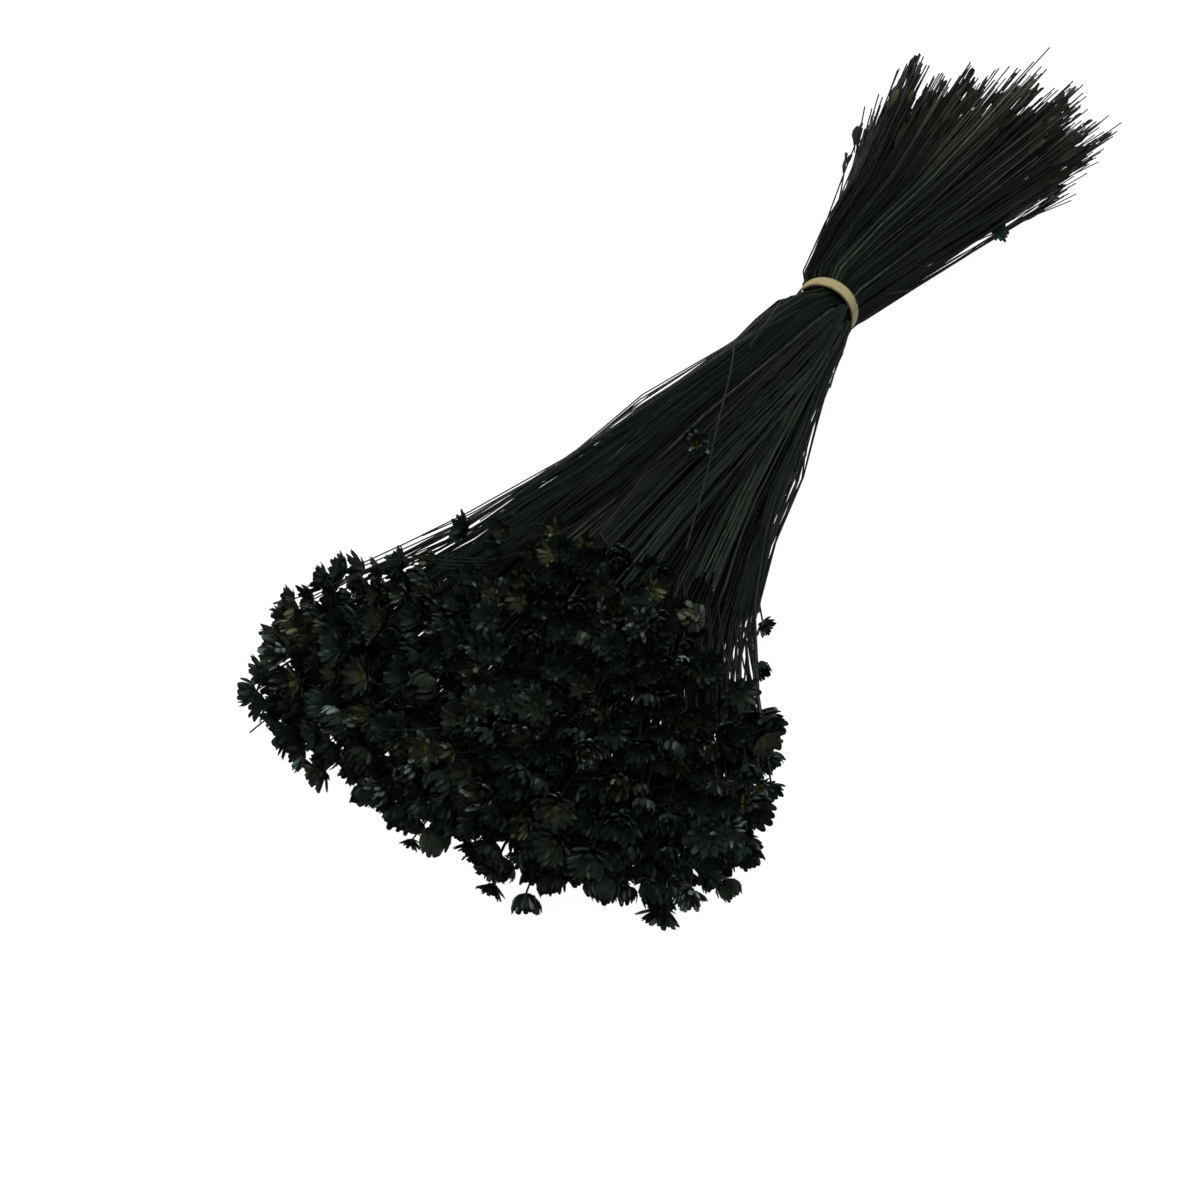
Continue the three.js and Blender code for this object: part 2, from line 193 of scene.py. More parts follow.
def backed(face: Object, inner: Callable[[Vector], bool], outward: Vector) -> Object:
    """Closes a thin face with a back that has the same outline and stands off from it inside.

    Args:
        face: The open face.
        inner: Says which of its vertices, by their place, stand off on the back.
        outward: How far they do.

    Returns:
        The closed piece, with sharp edges all round.
    """
    back = copy_of(face, Matrix())
    with editing(back):
        pick(back, inner)
        bpy.ops.transform.translate(value=outward)
        bpy.ops.mesh.select_all(action="SELECT")
        bpy.ops.mesh.flip_normals()
    whole = joined([face, back], face.name)
    with editing(whole):
        bpy.ops.mesh.select_all(action="SELECT")
        bpy.ops.mesh.remove_doubles(threshold=WELD)
    return whole


def discard(models: Iterable[Object]) -> None:
    """Removes models that have been copied often enough."""
    for model in models:
        bpy.data.objects.remove(model)


def paint(piece: Object, name: str, value: float) -> None:
    """Gives all of a piece's points one value of an attribute that its material reads."""
    layer = piece.data.attributes.get(name) or piece.data.attributes.new(name, "FLOAT", "POINT")
    layer.data.foreach_set("value", [value] * len(piece.data.vertices))


@dataclass(frozen=True)
class FlowerStalk:
    """A stalk from the tie to the head that it carries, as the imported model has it.

    Its foot is where it leaves the tie, and opening runs from 0 for a bud to 1 for a wide open head.
    """

    foot: Vector
    bend: Vector
    neck: Vector
    axis: Vector
    radius: float
    opening: float
    added: bool = False

    heart_height: ClassVar[float] = 0.4

    def heart(self) -> Vector:
        """The middle of the head."""
        return self.neck + self.axis * self.radius * self.heart_height

    def between(self, other: "FlowerStalk", size: float, opening: float, shift: Vector) -> "FlowerStalk":
        """A stalk that runs about halfway between this one and another, with a head of its own.

        Args:
            other: The other stalk.
            size: The new head's size, as a share of theirs.
            opening: How far the new head is open.
            shift: How far the new head stands out of the middle between them.

        Returns:
            The stalk.
        """
        foot, bend, neck = ((mine + theirs) / 2 for mine, theirs in zip(self.places(), other.places()))
        axis = (self.axis + other.axis).normalized()
        radius = (self.radius + other.radius) / 2 * size
        neck += shift
        neck.z = max(neck.z, radius)
        return FlowerStalk(foot, bend, neck, axis, radius, opening, added=True)

    def places(self) -> tuple[Vector, Vector, Vector]:
        """Where the stalk leaves the tie, where it bends and where its head begins."""
        return self.foot, self.bend, self.neck


@dataclass(frozen=True)
class CutStalk:
    """The stretch of a stalk behind the tie, from where it leaves the tie to where it was cut."""

    foot: Vector
    end: Vector


@dataclass
class Spray:
    """Stalks that lie side by side in the tie."""

    name: str
    flowers: list[FlowerStalk] = field(default_factory=list)
    cuts: list[CutStalk] = field(default_factory=list)

    def nearest(self, place: Vector) -> int:
        """Which flowering stalk leaves the tie closest to a place."""
        return min(range(len(self.flowers)), key=lambda i: (self.flowers[i].foot - place).xz.length)


class TipReach(Enum):
    """The tips of a head's outer bracts, as shares of its radius, for a bud and for a wide open head."""

    OUT = (0.55, 1.0)
    UP = (1.35, 0.6)

    def at(self, opening: float) -> float:
        """The share for a head that has opened this far."""
        return mix(*self.value, opening)

    @classmethod
    def opening(cls, out: float, up: float) -> float:
        """How far a head has opened, as its tips' way out and way up tell.

        Args:
            out: How far the tips stand out from the head's axis.
            up: How high they stand above its neck.

        Returns:
            The opening, from 0 to 1.
        """
        slope = out / up
        (bud_out, wide_out), (bud_up, wide_up) = cls.OUT.value, cls.UP.value
        opening = (slope * bud_up - bud_out) / ((wide_out - bud_out) + slope * (bud_up - wide_up))
        return min(1.0, max(0.0, opening))


@dataclass
class SprayReader:
    """Reads the stalks and heads of a spray from its solid, which is built ring by ring.

    Past the core in the tie, a bare cut stalk has one ring, and one with a sheath has a few.
    """

    tie: Vector
    weld: float = 2e-6
    core_reach: float = 0.02
    ring_points: int = 3
    sheathed_rings: int = 3
    floor_skin: float = 1e-5

    def read(self, name: str, node: Object) -> Spray:
        """Finds the stalks of one spray.

        Args:
            name: The node's name.
            node: The spray's solid.

        Returns:
            The spray with its flowering stalks and its cut ends.
        """
        spray = Spray(name)
        mesh = bmesh.new()
        mesh.from_mesh(node.data)
        bmesh.ops.remove_doubles(mesh, verts=mesh.verts, dist=self.weld)
        beyond = {v for v in mesh.verts if abs(v.co.y - self.tie.y) > self.core_reach}
        while beyond:
            stalk = self.connected(beyond)
            beyond -= stalk
            if len(stalk) > self.ring_points * self.sheathed_rings:
                spray.flowers.append(self.flower(stalk))
            else:
                spray.cuts.append(self.cut(stalk))
        mesh.free()
        return spray

    @staticmethod
    def neighbours(vertices: set[bmesh.types.BMVert]) -> set[bmesh.types.BMVert]:
        """All vertices that share an edge with one of these."""
        return {edge.other_vert(vertex) for vertex in vertices for edge in vertex.link_edges}

    def connected(self, among: set[bmesh.types.BMVert]) -> set[bmesh.types.BMVert]:
        """Finds the vertices that hang together with the first one of a set.

        Args:
            among: The set that they are in.

        Returns:
            The vertices.
        """
        found = {self.ordered(among)[0]}
        edge = found
        while edge:
            edge = (self.neighbours(edge) & among) - found
            found = found | edge
        return found

    @staticmethod
    def ordered(vertices: set[bmesh.types.BMVert]) -> list[bmesh.types.BMVert]:
        """Some vertices in the order of their numbers, because a set's own order changes from run to run."""
        return sorted(vertices, key=lambda vertex: vertex.index)

    def middle(self, vertices: set[bmesh.types.BMVert]) -> Vector:
        """The mean place of some vertices, summed in a fixed order, as its rounding can settle a near tie."""
        return sum((vertex.co for vertex in reversed(self.ordered(vertices))), Vector()) / len(vertices)

    def flower(self, stalk: set[bmesh.types.BMVert]) -> FlowerStalk:
        """Reads a flowering stalk, which has rings at its bend and neck, then its head's rim and dome.

        Args:
            stalk: Its vertices in front of the tie.

        Returns:
            The stalk.
        """
        feet = self.neighbours(stalk) - stalk
        bend = self.neighbours(feet) & stalk
        neck = (self.neighbours(bend) & stalk) - bend
        head = stalk - bend - neck
        inside = head - self.neighbours(neck)
        dome = max(self.ordered(inside), key=lambda vertex: len(vertex.link_edges))
        base = self.middle(neck)
        axis = (dome.co - base).normalized()
        rim = [v.co - base for v in self.ordered(head - {dome}) if v.co.z > self.floor_skin]
        tip = max(rim, key=lambda place: place.cross(axis).length)
        out = tip.cross(axis).length
        opening = TipReach.opening(out, tip.dot(axis))
        radius = out / TipReach.OUT.at(opening)
        return FlowerStalk(self.middle(feet), self.middle(bend), base, axis, radius, opening)

    def cut(self, stalk: set[bmesh.types.BMVert]) -> CutStalk:
        """Reads a stalk that was cut off behind the tie.

        Args:
            stalk: Its vertices behind the tie.

        Returns:
            The stalk.
        """
        feet = self.neighbours(stalk) - stalk
        last = max(self.ordered(stalk), key=lambda vertex: vertex.co.y)
        sheathed = len(stalk) > self.ring_points
        end = {last} | (self.neighbours({last}) & stalk) if sheathed else stalk
        return CutStalk(self.middle(feet), self.middle(end))


@dataclass(frozen=True)
class Bract:
    """One papery bract of a head that has a radius of 1 and grows up +Z.

    It curves from foot by elbow to tip, which are given as a distance from the head's axis and a height.
    """

    foot: tuple[float, float]
    elbow: tuple[float, float]
    tip: tuple[float, float]
    width: float
    outline: tuple[float, ...] = (0.45, 0.9, 1.0, 0.46)
    point: float = 0.05
    cup: float = 0.16
    keel: float = 0.05

    def middle(self, share: float) -> Vector:
        """Follows the middle line.

        Args:
            share: How far along it, from 0 at the foot to 1 at the tip.

        Returns:
            The place there.
        """
        reach, height = (
            (1 - share) ** 2 * foot + 2 * share * (1 - share) * elbow + share**2 * tip
            for foot, elbow, tip in zip(self.foot, self.elbow, self.tip)
        )
        return Vector((0, reach, height))

    def heading(self, share: float) -> Vector:
        """The middle line's direction at a share of the length."""
        step = 0.01
        return (self.middle(share + step) - self.middle(share - step)).normalized()

    def build(self) -> Object:
        """Shapes a flat grid into the bract, row by row from the tip, and gives it its keeled back.

        Returns:
            The bract, which stands on the head's axis and leans to +Y.
        """
        rows = len(self.outline) - 1
        bpy.ops.mesh.primitive_grid_add(x_subdivisions=2, y_subdivisions=rows, size=1)
        piece = bpy.context.object
        with editing(piece):
            for row in range(rows, -1, -1):
                share = row / rows
                flat = Vector((0, share - 0.5, 0))
                place = self.middle(share)
                breadth = self.width * self.outline[row]
                inward = self.heading(share).cross(Vector((-1, 0, 0)))
                pick(piece, lambda at: abs(at.y - flat.y) < NEAR and abs(at.z) < NEAR)
                bpy.ops.transform.resize(value=(breadth, 1, 1))
                bpy.ops.transform.translate(value=place - flat)
                level = place.copy()
                pick(piece, lambda at: abs(at.x) > NEAR and (at - level).yz.length < NEAR)
                bpy.ops.transform.translate(value=inward * breadth * self.cup)
            foot, tip = self.middle(0), self.middle(1)
            pick(piece, lambda at: (at - tip).length < NEAR)
            bpy.ops.transform.translate(value=self.heading(1) * self.point)
            tip = tip + self.heading(1) * self.point

        def on_keel(at: Vector) -> bool:
            """Whether a vertex lies on the middle line, between its two ends."""
            return abs(at.x) < NEAR and min((at - foot).length, (at - tip).length) > NEAR

        outward = self.heading(0.5).cross(Vector((1, 0, 0))) * self.keel
        return backed(piece, on_keel, outward)


@dataclass(frozen=True)
class Whorl:
    """A ring of bracts inside a head, with its tips at shares of the outermost tips' reach and height."""

    outline: tuple[float, ...]
    count: int
    width: float
    reach: float
    height: float
    foot: tuple[float, float]
    depth: float


class HeadForm(Enum):
    """How far a head is open, from a closed bud to a wide cup."""

    BUD = 0.06
    SWOLLEN = 0.3
    LOOSE = 0.5
    CUP = 0.7
    OPEN = 0.85
    WIDE = 1.0

    @classmethod
    def nearest(cls, opening: float) -> "HeadForm":
        """The form that comes closest to an opening."""
        return min(cls, key=lambda form: abs(form.value - opening))


Models = dict[HeadForm, list[Object]]


@dataclass
class HeadMaker:
    """Models the heads, each form in a few variants, with a radius of 1 and the stalk coming up +Z."""

    variants: int = 3
    plain_whorls: int = 3
    heart_reach: tuple[float, float] = (0.07, 0.2)
    heart_height: float = 0.2
    heart_sides: int = 7
    heart_dome: tuple[float, float] = (0.5, 0.3)
    long_outline: tuple[float, ...] = (0.42, 0.84, 1.0, 0.95, 0.6)
    plain_outline: tuple[float, ...] = (0.45, 0.95, 1.0, 0.62)
    short_outline: tuple[float, ...] = (0.6, 1.0, 0.5)
    elbow_reach: tuple[float, float] = (1.2, 0.56)
    elbow_height: tuple[float, float] = (0.34, 0.3)
    elbow_follows: float = 0.8
    closing: float = 0.8
    shut_reach: float = 0.55
    turn_scatter: float = 9.0
    lean_scatter: float = 10.0
    size_scatter: float = 0.13
    sharpest: float = 55.0
    seed: int = 41

    def whorls(self, plain: bool) -> tuple[Whorl, ...]:
        """Lists the rings of a head from the outside in: outer bracts, three rings of inner ones, florets.

        Args:
            plain: Leaves out the innermost rings, and gives the long bracts a row less.

        Returns:
            The rings.
        """
        short = self.short_outline
        long = self.plain_outline if plain else self.long_outline
        rings = (
            Whorl(short, count=6, width=0.38, reach=0.72, height=0.5, foot=(0.08, -0.02), depth=0.0),
            Whorl(long, count=12, width=0.385, reach=1.0, height=1.0, foot=(0.12, 0.0), depth=0.15),
            Whorl(long, count=10, width=0.36, reach=0.82, height=1.14, foot=(0.13, 0.04), depth=0.35),
            Whorl(short, count=7, width=0.31, reach=0.58, height=1.08, foot=(0.12, 0.08), depth=0.6),
            Whorl(short, count=5, width=0.18, reach=0.3, height=0.7, foot=(0.05, 0.1), depth=0.95),
        )
        return rings[:self.plain_whorls] if plain else rings

    def build(self, plain: bool = False) -> Models:
        """Models all variants of all forms.

        Args:
            plain: Leaves out the inner bracts and florets, for heads that lie among others.

        Returns:
            The variants of each form.
        """
        draw = random.Random(self.seed)
        whorls = self.whorls(plain)
        return {form: [self.head(form, whorls, draw) for _ in range(self.variants)] for form in HeadForm}

    def bract(self, whorl: Whorl, opening: float) -> Bract:
        """Works out the bract that a whorl repeats.

        Args:
            whorl: The ring of bracts.
            opening: How far the head is open.

        Returns:
            The bract.
        """
        shut = (1 - opening) * self.closing
        reach = TipReach.OUT.at(opening) * mix(whorl.reach, whorl.reach**3 * self.shut_reach, shut)
        height = TipReach.UP.at(opening) * mix(whorl.height, math.sqrt(whorl.height), shut)
        elbow_reach = mix(*self.elbow_reach, opening) * mix(1, whorl.reach, self.elbow_follows)
        elbow_height = mix(*self.elbow_height, opening) * whorl.height + whorl.foot[1]
        elbow = (elbow_reach, elbow_height)
        return Bract(whorl.foot, elbow, (reach, height), whorl.width, whorl.outline)

    def heart(self) -> Object:
        """Models the small solid middle that the bracts grow from, narrow below and domed on top.

        Returns:
            The heart.
        """
        below, above = self.heart_reach
        inset, rise = self.heart_dome
        bpy.ops.mesh.primitive_cone_add(
            vertices=self.heart_sides, radius1=below, radius2=above, depth=self.heart_height,
            location=(0, 0, self.heart_height / 2),
        )
        piece = bpy.context.object
        bpy.ops.object.transform_apply(location=True)
        with editing(piece):
            pick(piece, lambda at: at.z > self.heart_height / 2)
            bpy.ops.mesh.inset(thickness=above * inset, depth=above * rise)
        paint(piece, "depth", 1.0)
        return piece

    def head(self, form: HeadForm, whorls: tuple[Whorl, ...], draw: random.Random) -> Object:
        """Sets the bracts of one head round its axis.

        Args:
            form: How far the head is open.
            whorls: The rings of bracts, from the outside in.
            draw: The source of the small differences.

        Returns:
            The head as one object.
        """
        parts = [self.heart()]
        for whorl in whorls:
            model = self.bract(whorl, form.value).build()
            first = draw.uniform(0, math.tau)
            for place in range(whorl.count):
                turn = first + math.tau * place / whorl.count + math.radians(around(draw, self.turn_scatter))
                lean = math.radians(around(draw, self.lean_scatter))
                size = 1 + around(draw, self.size_scatter)
                spin = Matrix.Rotation(turn, 4, "Z") @ Matrix.Rotation(lean, 4, "X") @ Matrix.Scale(size, 4)
                part = copy_of(model, spin)
                paint(part, "tone", draw.random())
                paint(part, "depth", whorl.depth)
                parts.append(part)
            discard([model])
        head = joined(parts, f"model_{form.name.lower()}")
        smooth(head, self.sharpest)
        return head


@dataclass
class GapHeads:
    """Further heads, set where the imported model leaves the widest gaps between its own."""

    count: int = 600
    pair_reach: float = 0.027
    size: tuple[float, float] = (0.7, 0.98)
    opening: tuple[float, float] = (0.3, 1.0)
    shift: Vector = vector(0.003, 0.003, 0.003)
    set_back: float = 0.009
    nearest_tie: float = 0.15
    seed: int = 67

    def add(self, sprays: list[Spray], tie: Vector) -> None:
        """Puts a head halfway between two others, again and again, wherever it is loneliest.

        Args:
            sprays: The sprays, which take the new stalks.
            tie: The middle of the tie.
        """
        draw = random.Random(self.seed)
        front = tie.y - self.nearest_tie
        homes = [(spray, stalk) for spray in sprays for stalk in spray.flowers if stalk.neck.y < front]
        options = [
            (spray, one.between(
                other, draw.uniform(*self.size), draw.uniform(*self.opening), scattered(draw, self.shift),
            ))
            for place, (spray, one) in enumerate(homes)
            for _, other in homes[place + 1:]
            if (one.neck - other.neck).length < self.pair_reach
        ]
        hearts = [stalk.heart() for _, stalk in homes]
        room = [min((option.heart() - heart).length for heart in hearts) for _, option in options]
        for _ in range(self.count):
            best = max(range(len(options)), key=room.__getitem__)
            spray, chosen = options[best]
            for place, (_, option) in enumerate(options):
                room[place] = min(room[place], (option.heart() - chosen.heart()).length)
            back = (chosen.bend - chosen.neck).normalized() * draw.uniform(0, self.set_back)
            spray.flowers.append(replace(chosen, neck=chosen.neck + back))


@dataclass
class RimHeads:
    """Single heads that round off the bunch's outline, with their places as seen from the tie."""

    places: Route = (
        (-0.071, -0.226, 0.013), (-0.076, -0.211, 0.012), (-0.07, -0.21, 0.015),
        (-0.066, -0.236, 0.008), (-0.074, -0.225, 0.002), (-0.064, -0.241, -0.001),
        (-0.061, -0.241, -0.008), (-0.055, -0.2415, -0.01), (-0.048, -0.241, -0.011),
        (-0.041, -0.24, -0.009), (0.011, -0.243, -0.02), (0.018, -0.242, -0.018),
        (0.021, -0.239, -0.014), (0.058, -0.219, -0.017), (0.061, -0.215, -0.014),
        (0.06, -0.219, -0.02), (0.056, -0.205, -0.009), (-0.016, -0.167, 0.028),
        (-0.06, -0.206, 0.016), (-0.057, -0.201, 0.017), (-0.049, -0.203, 0.019),
        (-0.046, -0.197, 0.018), (-0.04, -0.196, 0.02), (-0.035, -0.208, 0.02),
        (-0.065, -0.236, -0.003), (-0.045, -0.235, -0.005), (-0.052, -0.214, 0.016),
    )
    size: tuple[float, float] = (0.85, 1.05)
    opening: tuple[float, float] = (0.5, 1.0)
    bend_follows: float = 0.5
    seed: int = 71

    def add(self, sprays: list[Spray], tie: Vector) -> None:
        """Gives each place a head, on a stalk beside the nearest one.

        Args:
            sprays: The sprays, which take the new stalks.
            tie: The middle of the tie.
        """
        draw = random.Random(self.seed)
        homes = [(spray, stalk) for spray in sprays for stalk in spray.flowers]
        for place in self.places:
            neck = tie + Vector(place)
            spray, beside = min(homes, key=lambda home: (home[1].neck - neck).length)
            spray.flowers.append(replace(
                beside, neck=neck, bend=beside.bend + (neck - beside.neck) * self.bend_follows,
                radius=beside.radius * draw.uniform(*self.size), opening=draw.uniform(*self.opening),
            ))


@dataclass
class Flowers:
    """The heads of all sprays, in pieces that each cover a few sprays.

    The head that lies alone on the bundle, in the stretch of Y that lone gives, has a frosted dye, whose pale
    grey is partly painted highlight.
    """

    press_level: float = 0.0006
    clearance: float = 0.00002
    unfolding: float = 1.5
    lone: tuple[float, float] = (-0.08, 0.0)
    frosted: float = 0.79
    seed: int = 97

    def build(self, name: str, sprays: list[Spray], full: Models, plain: Models) -> Object:
        """Sets a head on every flowering stalk of some sprays.

        Args:
            name: The piece's name.
            sprays: The sprays that it covers.
            full: The head models by form.
            plain: The same for the heads that were added among them.

        Returns:
            The piece.
        """
        draw = random.Random(f"{self.seed} {name}")
        parts = []
        for stalk in [stalk for spray in sprays for stalk in spray.flowers]:
            form = HeadForm.nearest(1 - (1 - stalk.opening) ** self.unfolding)
            facing = UP.rotation_difference(stalk.axis).to_matrix().to_4x4()
            turn = Matrix.Rotation(draw.uniform(0, math.tau), 4, "Z")
            size = Matrix.Scale(stalk.radius, 4)
            model = draw.choice((plain if stalk.added else full)[form])
            part = copy_of(model, Matrix.Translation(stalk.neck) @ facing @ turn @ size)
            dye = draw.random()
            start, end = self.lone
            paint(part, "dye", self.frosted if start < stalk.neck.y < end else dye)
            parts.append(part)
        piece = joined(parts, name)
        self.press(piece)
        return piece

    def press(self, piece: Object) -> None:
        """Flattens what lies lowest, so that it rests on the floor and doesn't sink in.

        Args:
            piece: The heads.
        """
        lowest = min(vertex.co.z for vertex in piece.data.vertices)
        if lowest > self.clearance:
            return
        share = (self.press_level - self.clearance) / (self.press_level - lowest)
        with editing(piece):
            pick(piece, lambda at: at.z < self.press_level)
            bpy.ops.transform.resize(value=(1, 1, share), center_override=(0, 0, self.press_level))


@dataclass(frozen=True)
class Knot:
    """A place on a stretch of stalk: how far along it lies, and its shares of the sway and of the bulge."""

    along: float
    sway: float = 1.0
    bulge: float = 0.0

    def place(self, ends: tuple[Vector, Vector], sway: Vector, bulge: Vector, draw: random.Random) -> Vector:
        """Works out where it lies.

        Args:
            ends: The two ends of the stretch.
            sway: How far a stalk may wander.
            bulge: How far all stalks bulge out.
            draw: The source of the small differences.

        Returns:
            The place.
        """
        start, end = ends
        return start.lerp(end, self.along) + scattered(draw, sway) * self.sway + bulge * self.bulge


@dataclass
class Stalks:
    """The thin round stalks, from their cut ends through the tie to their heads."""

    tie: Vector
    radius: float = 0.00029
    steps: int = 2
    end_scatter: Vector = vector(0.0044, 0.012, 0.005)
    end_shift: Vector = vector(0.0005, -0.0055, 0)
    gather: float = 0.1
    fan_lean: float = 0.012
    sway: Vector = vector(0.0013, 0.004, 0.0012)
    wayward: tuple[float, float] = (0.25, 2.6)
    lock_size: int = 13
    lock_share: float = 0.45
    lock_sway: Vector = vector(0.0022, 0.0, 0.0016)
    bulge: Vector = vector(-0.0022, 0, 0.0004)
    behind: Knot = Knot(0.5, 0.6)
    after: Knot = Knot(0.2, 0.3, 1.0)
    before: Knot = Knot(0.55, 1.0, 0.7)
    bend: Knot = Knot(1.0, 1.0, 0.25)
    waist: float = 0.94
    shoulder: float = 0.009
    swell: float = 1.13
    back_bulge: float = 0.8
    front_bulge: float = 0.9
    lowest: float = 0.0008
    turned_end: Vector = vector(0.018, -0.04, 0.0014)
    stub: tuple[float, float] = (0.3, 0.85)
    stubs_per_spray: int = 9
    weld: float = 1e-6
    sharpest: float = 70.0
    seed: int = 53

    def ends(self, spray: Spray, draw: random.Random) -> list[Vector]:
        """Finds a cut end for each flowering stalk: the model's own ones, and others near them.

        Args:
            spray: The spray.
            draw: The source of the small differences.

        Returns:
            The ends, in the order of the stalks.
        """
        own = {spray.nearest(cut.foot): cut.end for cut in spray.cuts}
        middle = sum(own.values(), Vector()) / len(own)
        ends = []
        for place, stalk in enumerate(spray.flowers):
            end = own.get(place, middle + self.end_shift + scattered(draw, self.end_scatter))
            if stalk.neck.y > self.tie.y:
                end = self.tie + self.turned_end
            across = mix(end.x, self.tie.x + self.fan_lean, self.gather)
            ends.append(Vector((across, end.y, max(end.z, self.lowest))))
        return ends

    def in_tie(self, foot: Vector) -> Vector:
        """Where a stalk passes the middle of the band, which squeezes them all together."""
        middle = self.tie + RubberBand.offset
        return Vector((mix(middle.x, foot.x, self.waist), self.tie.y, mix(middle.z, foot.z, self.waist)))

    def shoulder_to(self, through: Vector, far: Vector, push: float) -> Vector:
        """Works out where a stalk swells out beside the band.

        Args:
            through: Where it passes the band.
            far: Where it goes from there.
            push: Its share of the bulge.

        Returns:
            The place.
        """
        place = through.lerp(far, self.shoulder / abs(far.y - through.y))
        across = mix(self.tie.x, place.x, self.swell)
        return Vector((across, place.y, mix(self.tie.z, place.z, self.swell))) + self.bulge * push

    def course(self, stalk: FlowerStalk, end: Vector, lock: Vector, draw: random.Random) -> Course:
        """The places that a stalk runs through, from its cut end to its head.

        Args:
            stalk: The stalk in front of the tie.
            end: Its cut end.
            lock: How far it and its neighbours lean out together on the way.
            draw: The source of the small differences.

        Returns:
            The places, in their order.
        """
        through = self.in_tie(stalk.foot)
        head = stalk.neck + stalk.axis * self.radius
        if stalk.neck.y > self.tie.y:
            return [end, through.lerp(end, self.behind.along), through, stalk.foot, stalk.bend, head]
        share, further = self.wayward
        sway = self.sway * (further if draw.random() < share else 1)
        behind = self.behind.place((through, end), sway, self.bulge, draw)
        after, before, bend = (
            knot.place((through, stalk.bend), sway, self.bulge, draw)
            for knot in (self.after, self.before, self.bend)
        )
        back = self.shoulder_to(through, end, self.back_bulge)
        front = self.shoulder_to(through, stalk.bend, self.front_bulge)
        course = [end, behind, back, through, front, after, before + lock, bend, head]
        for place in course:
            place.z = max(place.z, self.lowest)
        return course

    def courses(self, spray: Spray) -> list[Course]:
        """Lays out a spray's stalks, and headless ones that lie between them.

        Args:
            spray: The spray.

        Returns:
            Their courses.
        """
        draw = random.Random(f"{self.seed} {spray.name}")
        lock = scattered(draw, self.lock_sway)
        laid = [
            self.course(stalk, end, lock, draw) for stalk, end in zip(spray.flowers, self.ends(spray, draw))
        ]
        straight = [course for course in laid if course[-1].y < self.tie.y]
        for _ in range(self.stubs_per_spray):
            first, second = draw.sample(straight, 2)
            last = len(first) - 1
            between = [here.lerp(there, knot / last) for knot, (here, there) in enumerate(zip(first, second))]
            between[0] += scattered(draw, self.end_scatter)
            between[0].z = max(between[0].z, self.lowest)
            between[-1] = between[-2].lerp(between[-1], draw.uniform(*self.stub))
            laid.append(between)
        return laid

    def tube(self, course: Course) -> Object:
        """A round stalk along a smooth curve.

        Args:
            course: The places that it runs through.

        Returns:
            The stalk as a curve.
        """
        curve = bpy.data.curves.new("stalk", "CURVE")
        curve.dimensions = "3D"
        curve.bevel_depth = self.radius
        curve.bevel_resolution = 0
        curve.resolution_u = self.steps
        curve.use_fill_caps = True
        line = curve.splines.new("BEZIER")
        line.bezier_points.add(len(course) - 1)
        for knot, place in zip(line.bezier_points, course):
            knot.co = place
            knot.handle_left_type = "AUTO"
            knot.handle_right_type = "AUTO"
        piece = bpy.data.objects.new("stalk", curve)
        bpy.context.collection.objects.link(piece)
        return piece

    def build(self, name: str, courses: list[Course], darkest: float = 0.0) -> Object:
        """Lays stalks along their courses, each with a tone between its own and its neighbours'.

        Args:
            name: The piece's name.
            courses: The places that each stalk runs through.
            darkest: The lowest tone among them, from 0 to 1.

        Returns:
            The piece.
        """
        draw = random.Random(name)
        parts = [self.tube(course) for course in courses]
        take(*parts)
        bpy.ops.object.convert(target="MESH")
        for first in range(0, len(parts), self.lock_size):
            shade = draw.random()
            for part in parts[first:first + self.lock_size]:
                paint(part, "tone", mix(darkest, 1, mix(draw.random(), shade, self.lock_share)))
        piece = joined(parts, name)
        with editing(piece):
            bpy.ops.mesh.select_all(action="SELECT")
            bpy.ops.mesh.remove_doubles(threshold=self.weld)
            bpy.ops.mesh.normals_make_consistent(inside=False)
        smooth(piece, self.sharpest)
        return piece


